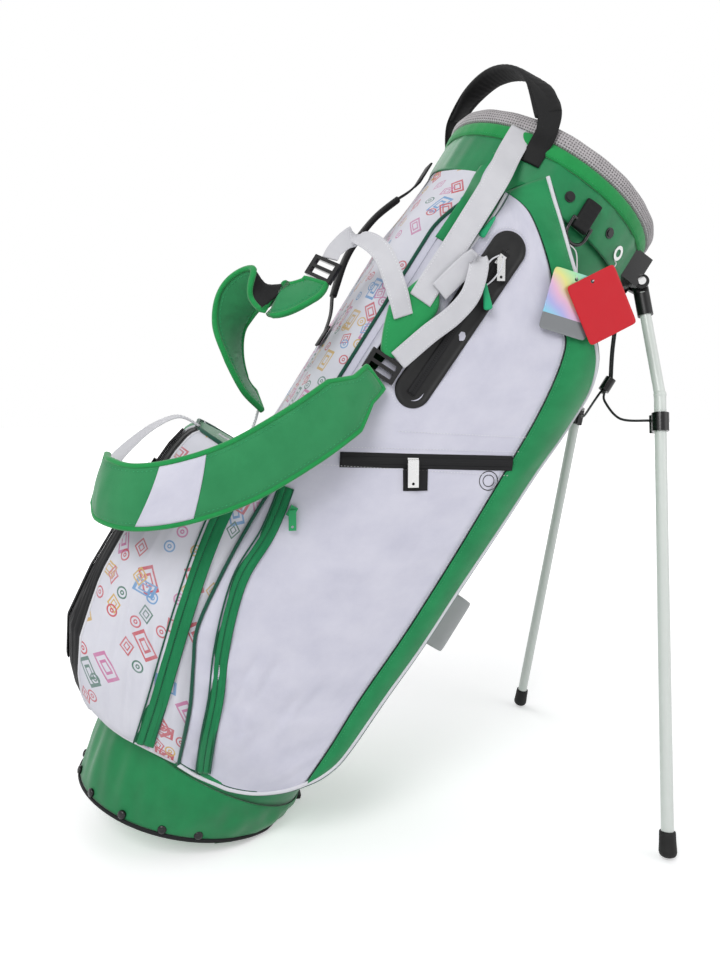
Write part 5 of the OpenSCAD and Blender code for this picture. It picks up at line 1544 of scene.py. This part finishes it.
for i, shade in enumerate(foil_shades):
    foil_ramp.color_ramp.elements[i].position = i / (len(foil_shades) - 1)
    foil_ramp.color_ramp.elements[i].color = (*shade, 1)
foil_strip = maths(foil_tree, "LESS_THAN", foil_axes.outputs[1], -0.043)
foil_mix = foil_tree.nodes.new("ShaderNodeMix")
foil_mix.data_type = "RGBA"
foil_tree.links.new(foil_strip, foil_mix.inputs["Factor"])
foil_tree.links.new(foil_ramp.outputs[0], foil_mix.inputs[6])
foil_mix.inputs[7].default_value = (0.20, 0.21, 0.22, 1)
foil_finish = next(n for n in foil_tree.nodes if n.bl_idname == "ShaderNodeGroup")
foil_tree.links.new(foil_mix.outputs[2], foil_finish.inputs["Color"])
string_cloth = cloth("white_string", (0.62, 0.62, 0.63), (0.45, 0.45, 0.47), 1500, 0.2, 0.1)

for label, node, knot, over, hole, size, turn_deg, paint in (
    ("red", "hang_tag_red", (83.93, -106.76, 798.4), (73, -147, 776), (57.7, -154, 745.7), (60, 70), -26, red_card),
    (
        "silver", "hang_tag_silver", (19.83, -135.17, 770.4), (28, -147.5, 762), (42.8, -150, 738.5), (56, 68), 15,
        foil_card
    ),
):
    a = math.radians(turn_deg) - LEAN
    card_x = math.cos(a) * ACROSS - math.sin(a) * ALONG
    card_z = math.sin(a) * ACROSS + math.cos(a) * ALONG
    centre = np.array([0.0, 7 - size[1] / 2])
    turn = np.linspace(0, 2 * np.pi, 96, endpoint=False)
    cut = np.sign(np.cos(turn)) * np.abs(np.cos(turn)) ** 0.12, np.sign(np.sin(turn)) * np.abs(np.sin(turn)) ** 0.12
    outline = centre + np.column_stack([cut[0] * size[0] / 2, cut[1] * size[1] / 2])
    toward = np.arctan2(outline[:, 1], outline[:, 0])
    ring = 2.2 * np.column_stack([np.cos(toward), np.sin(toward)])
    layers = [(ring, -0.78), (ring * 1.25, -0.8)] + [
        (ring * 1.25 + (outline - ring * 1.25) * s, -0.8) for s in (0.3, 0.6, 0.9, 0.995)
    ]
    layers += [(outline, -0.74), (outline, -0.06)] + [
        (ring * 1.25 + (outline - ring * 1.25) * s, 0.0) for s in (0.995, 0.9, 0.5)
    ] + [(ring * 1.25, 0.0), (ring, -0.02)]
    at = bag_place(*[np.array(float(v)) for v in hole])
    grid = np.stack([at + (xz[:, :1] * card_x + xz[:, 1:] * card_z + y * SIDE) / 1000 for xz, y in layers], 1)
    card = grid_piece(f"tag_{label}", grid, paint, wrap_i=True, wrap_j=True, away_from=at - card_z * 0.03)
    flat = np.array([v.co[:] for v in card.data.vertices]) - at
    loop_of = np.array([loop.vertex_index for loop in card.data.loops])
    planar = np.column_stack([flat @ card_x, flat @ card_z])[loop_of]
    card.data.uv_layers[0].data.foreach_set("uv", planar.astype(np.float32).ravel())
    fit(card, f"{label}_card", node, body=f"tag_{label}")
    string = cord_run(
        f"tag_string_{label}", [knot, over, (hole[0], hole[1] - 0.4, hole[2])], 1.4, string_cloth, f"tag_{label}"
    )


# ---- Moulded and metal parts ------------------------------------------------
# Collar, bracket, legs, boot and fittings keep the shapes of their solids. Each
# gets its own moulded, painted or metal finish.
rubber = mould_nodes(bpy.data.materials.new("base_rubber"), (0.008, 0.008, 0.008), 0.62, 800.0, 0.12, 0.05)
for label in ("right", "left"):
    tube = np.array([v.co[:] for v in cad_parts[f"leg_tube_{label}"].data.vertices])
    low_end, higher = (tube[(tube[:, 2] > a) & (tube[:, 2] < b)].mean(0) for a, b in ((0.0, 0.035), (0.30, 0.42)))
    if not np.isfinite(higher).all():
        higher = tube[tube[:, 2] > 0.1].mean(0)
    leg_way = (higher - low_end) / np.linalg.norm(higher - low_end)
    tip = low_end - leg_way * (low_end[2] - 0.0004) / leg_way[2]
    run = np.array([0.0, 0.0012, 0.003, 0.006, 0.010, 0.016, 0.024, 0.0275, 0.0280, 0.0283])
    fat = np.array([0.0055, 0.0078, 0.0092, 0.0100, 0.0098, 0.0094, 0.0092, 0.0090, 0.0086, 0.0068])
    line = tip + leg_way * (run + 0.0026)[:, None]
    foot = sweep(f"leg_tip_{label}", line, SIDE * 0.2 + ACROSS, fat * 2, fat * 2, rubber, 28)
    fit(foot, "rubber", f"leg_foot_{label}", body=f"leg_{label}")
black_gloss = mould_nodes(
    bpy.data.materials.new("black_gloss_moulding"), (0.004, 0.004, 0.0045), 0.22, 1500.0, 0.03, 0.02, coat=0.25
)
green_mould = mould_nodes(bpy.data.materials.new("green_moulding"), (0.010, 0.25, 0.070), 0.38, 1200.0, 0.06, 0.03)
leg_paint = mould_nodes(bpy.data.materials.new("painted_leg"), (0.66, 0.70, 0.67), 0.30, 300.0, 0.01, 0.03, coat=0.35)
fibreglass = mould_nodes(bpy.data.materials.new("stay_fibreglass"), (0.60, 0.58, 0.52), 0.45, 900.0, 0.04, 0.05)
steel = mould_nodes(bpy.data.materials.new("bare_steel"), (0.62, 0.62, 0.62), 0.26, 1600.0, 0.01, 0.06, metal=1.0)
zip_pull_green = mould_nodes(bpy.data.materials.new("zip_slider_green"), (0.012, 0.30, 0.10), 0.35, 900.0, 0.02, 0.05)
finishes = {
    "top_collar": black_mould, "top_divider": black_mould, "base_frame": black_mould, "stay_rods": fibreglass, "rod_guides": black_mould,
    "actuator_rod": steel, "leg_yoke": black_mould, "leg_bracket": black_gloss, "bracket_rivets": steel, "leg_pins": steel,
    "leg_head_right": black_mould, "leg_head_left": black_mould, "leg_tube_right": leg_paint, "leg_tube_left": leg_paint,
    "leg_clip_right": black_gloss, "leg_clip_left": black_gloss, 
    "cord_lock": black_gloss, "cord_lock_plunger": black_gloss, "ladder_locks": black_gloss, "towel_ring": black_gloss, "eyelet": steel,
    "collar_snaps": black_gloss, "base_pin": steel, "base_boot": rubber, "base_plate": green_mould,
    "front_zip_slider": steel, "valuables_zip_slider": steel, "apparel_zip_slider": zip_pull_green, "ball_zip_slider": black_gloss,
}
for node, material in finishes.items():
    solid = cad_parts[node]
    solid.data.materials.clear()
    solid.data.materials.append(material)
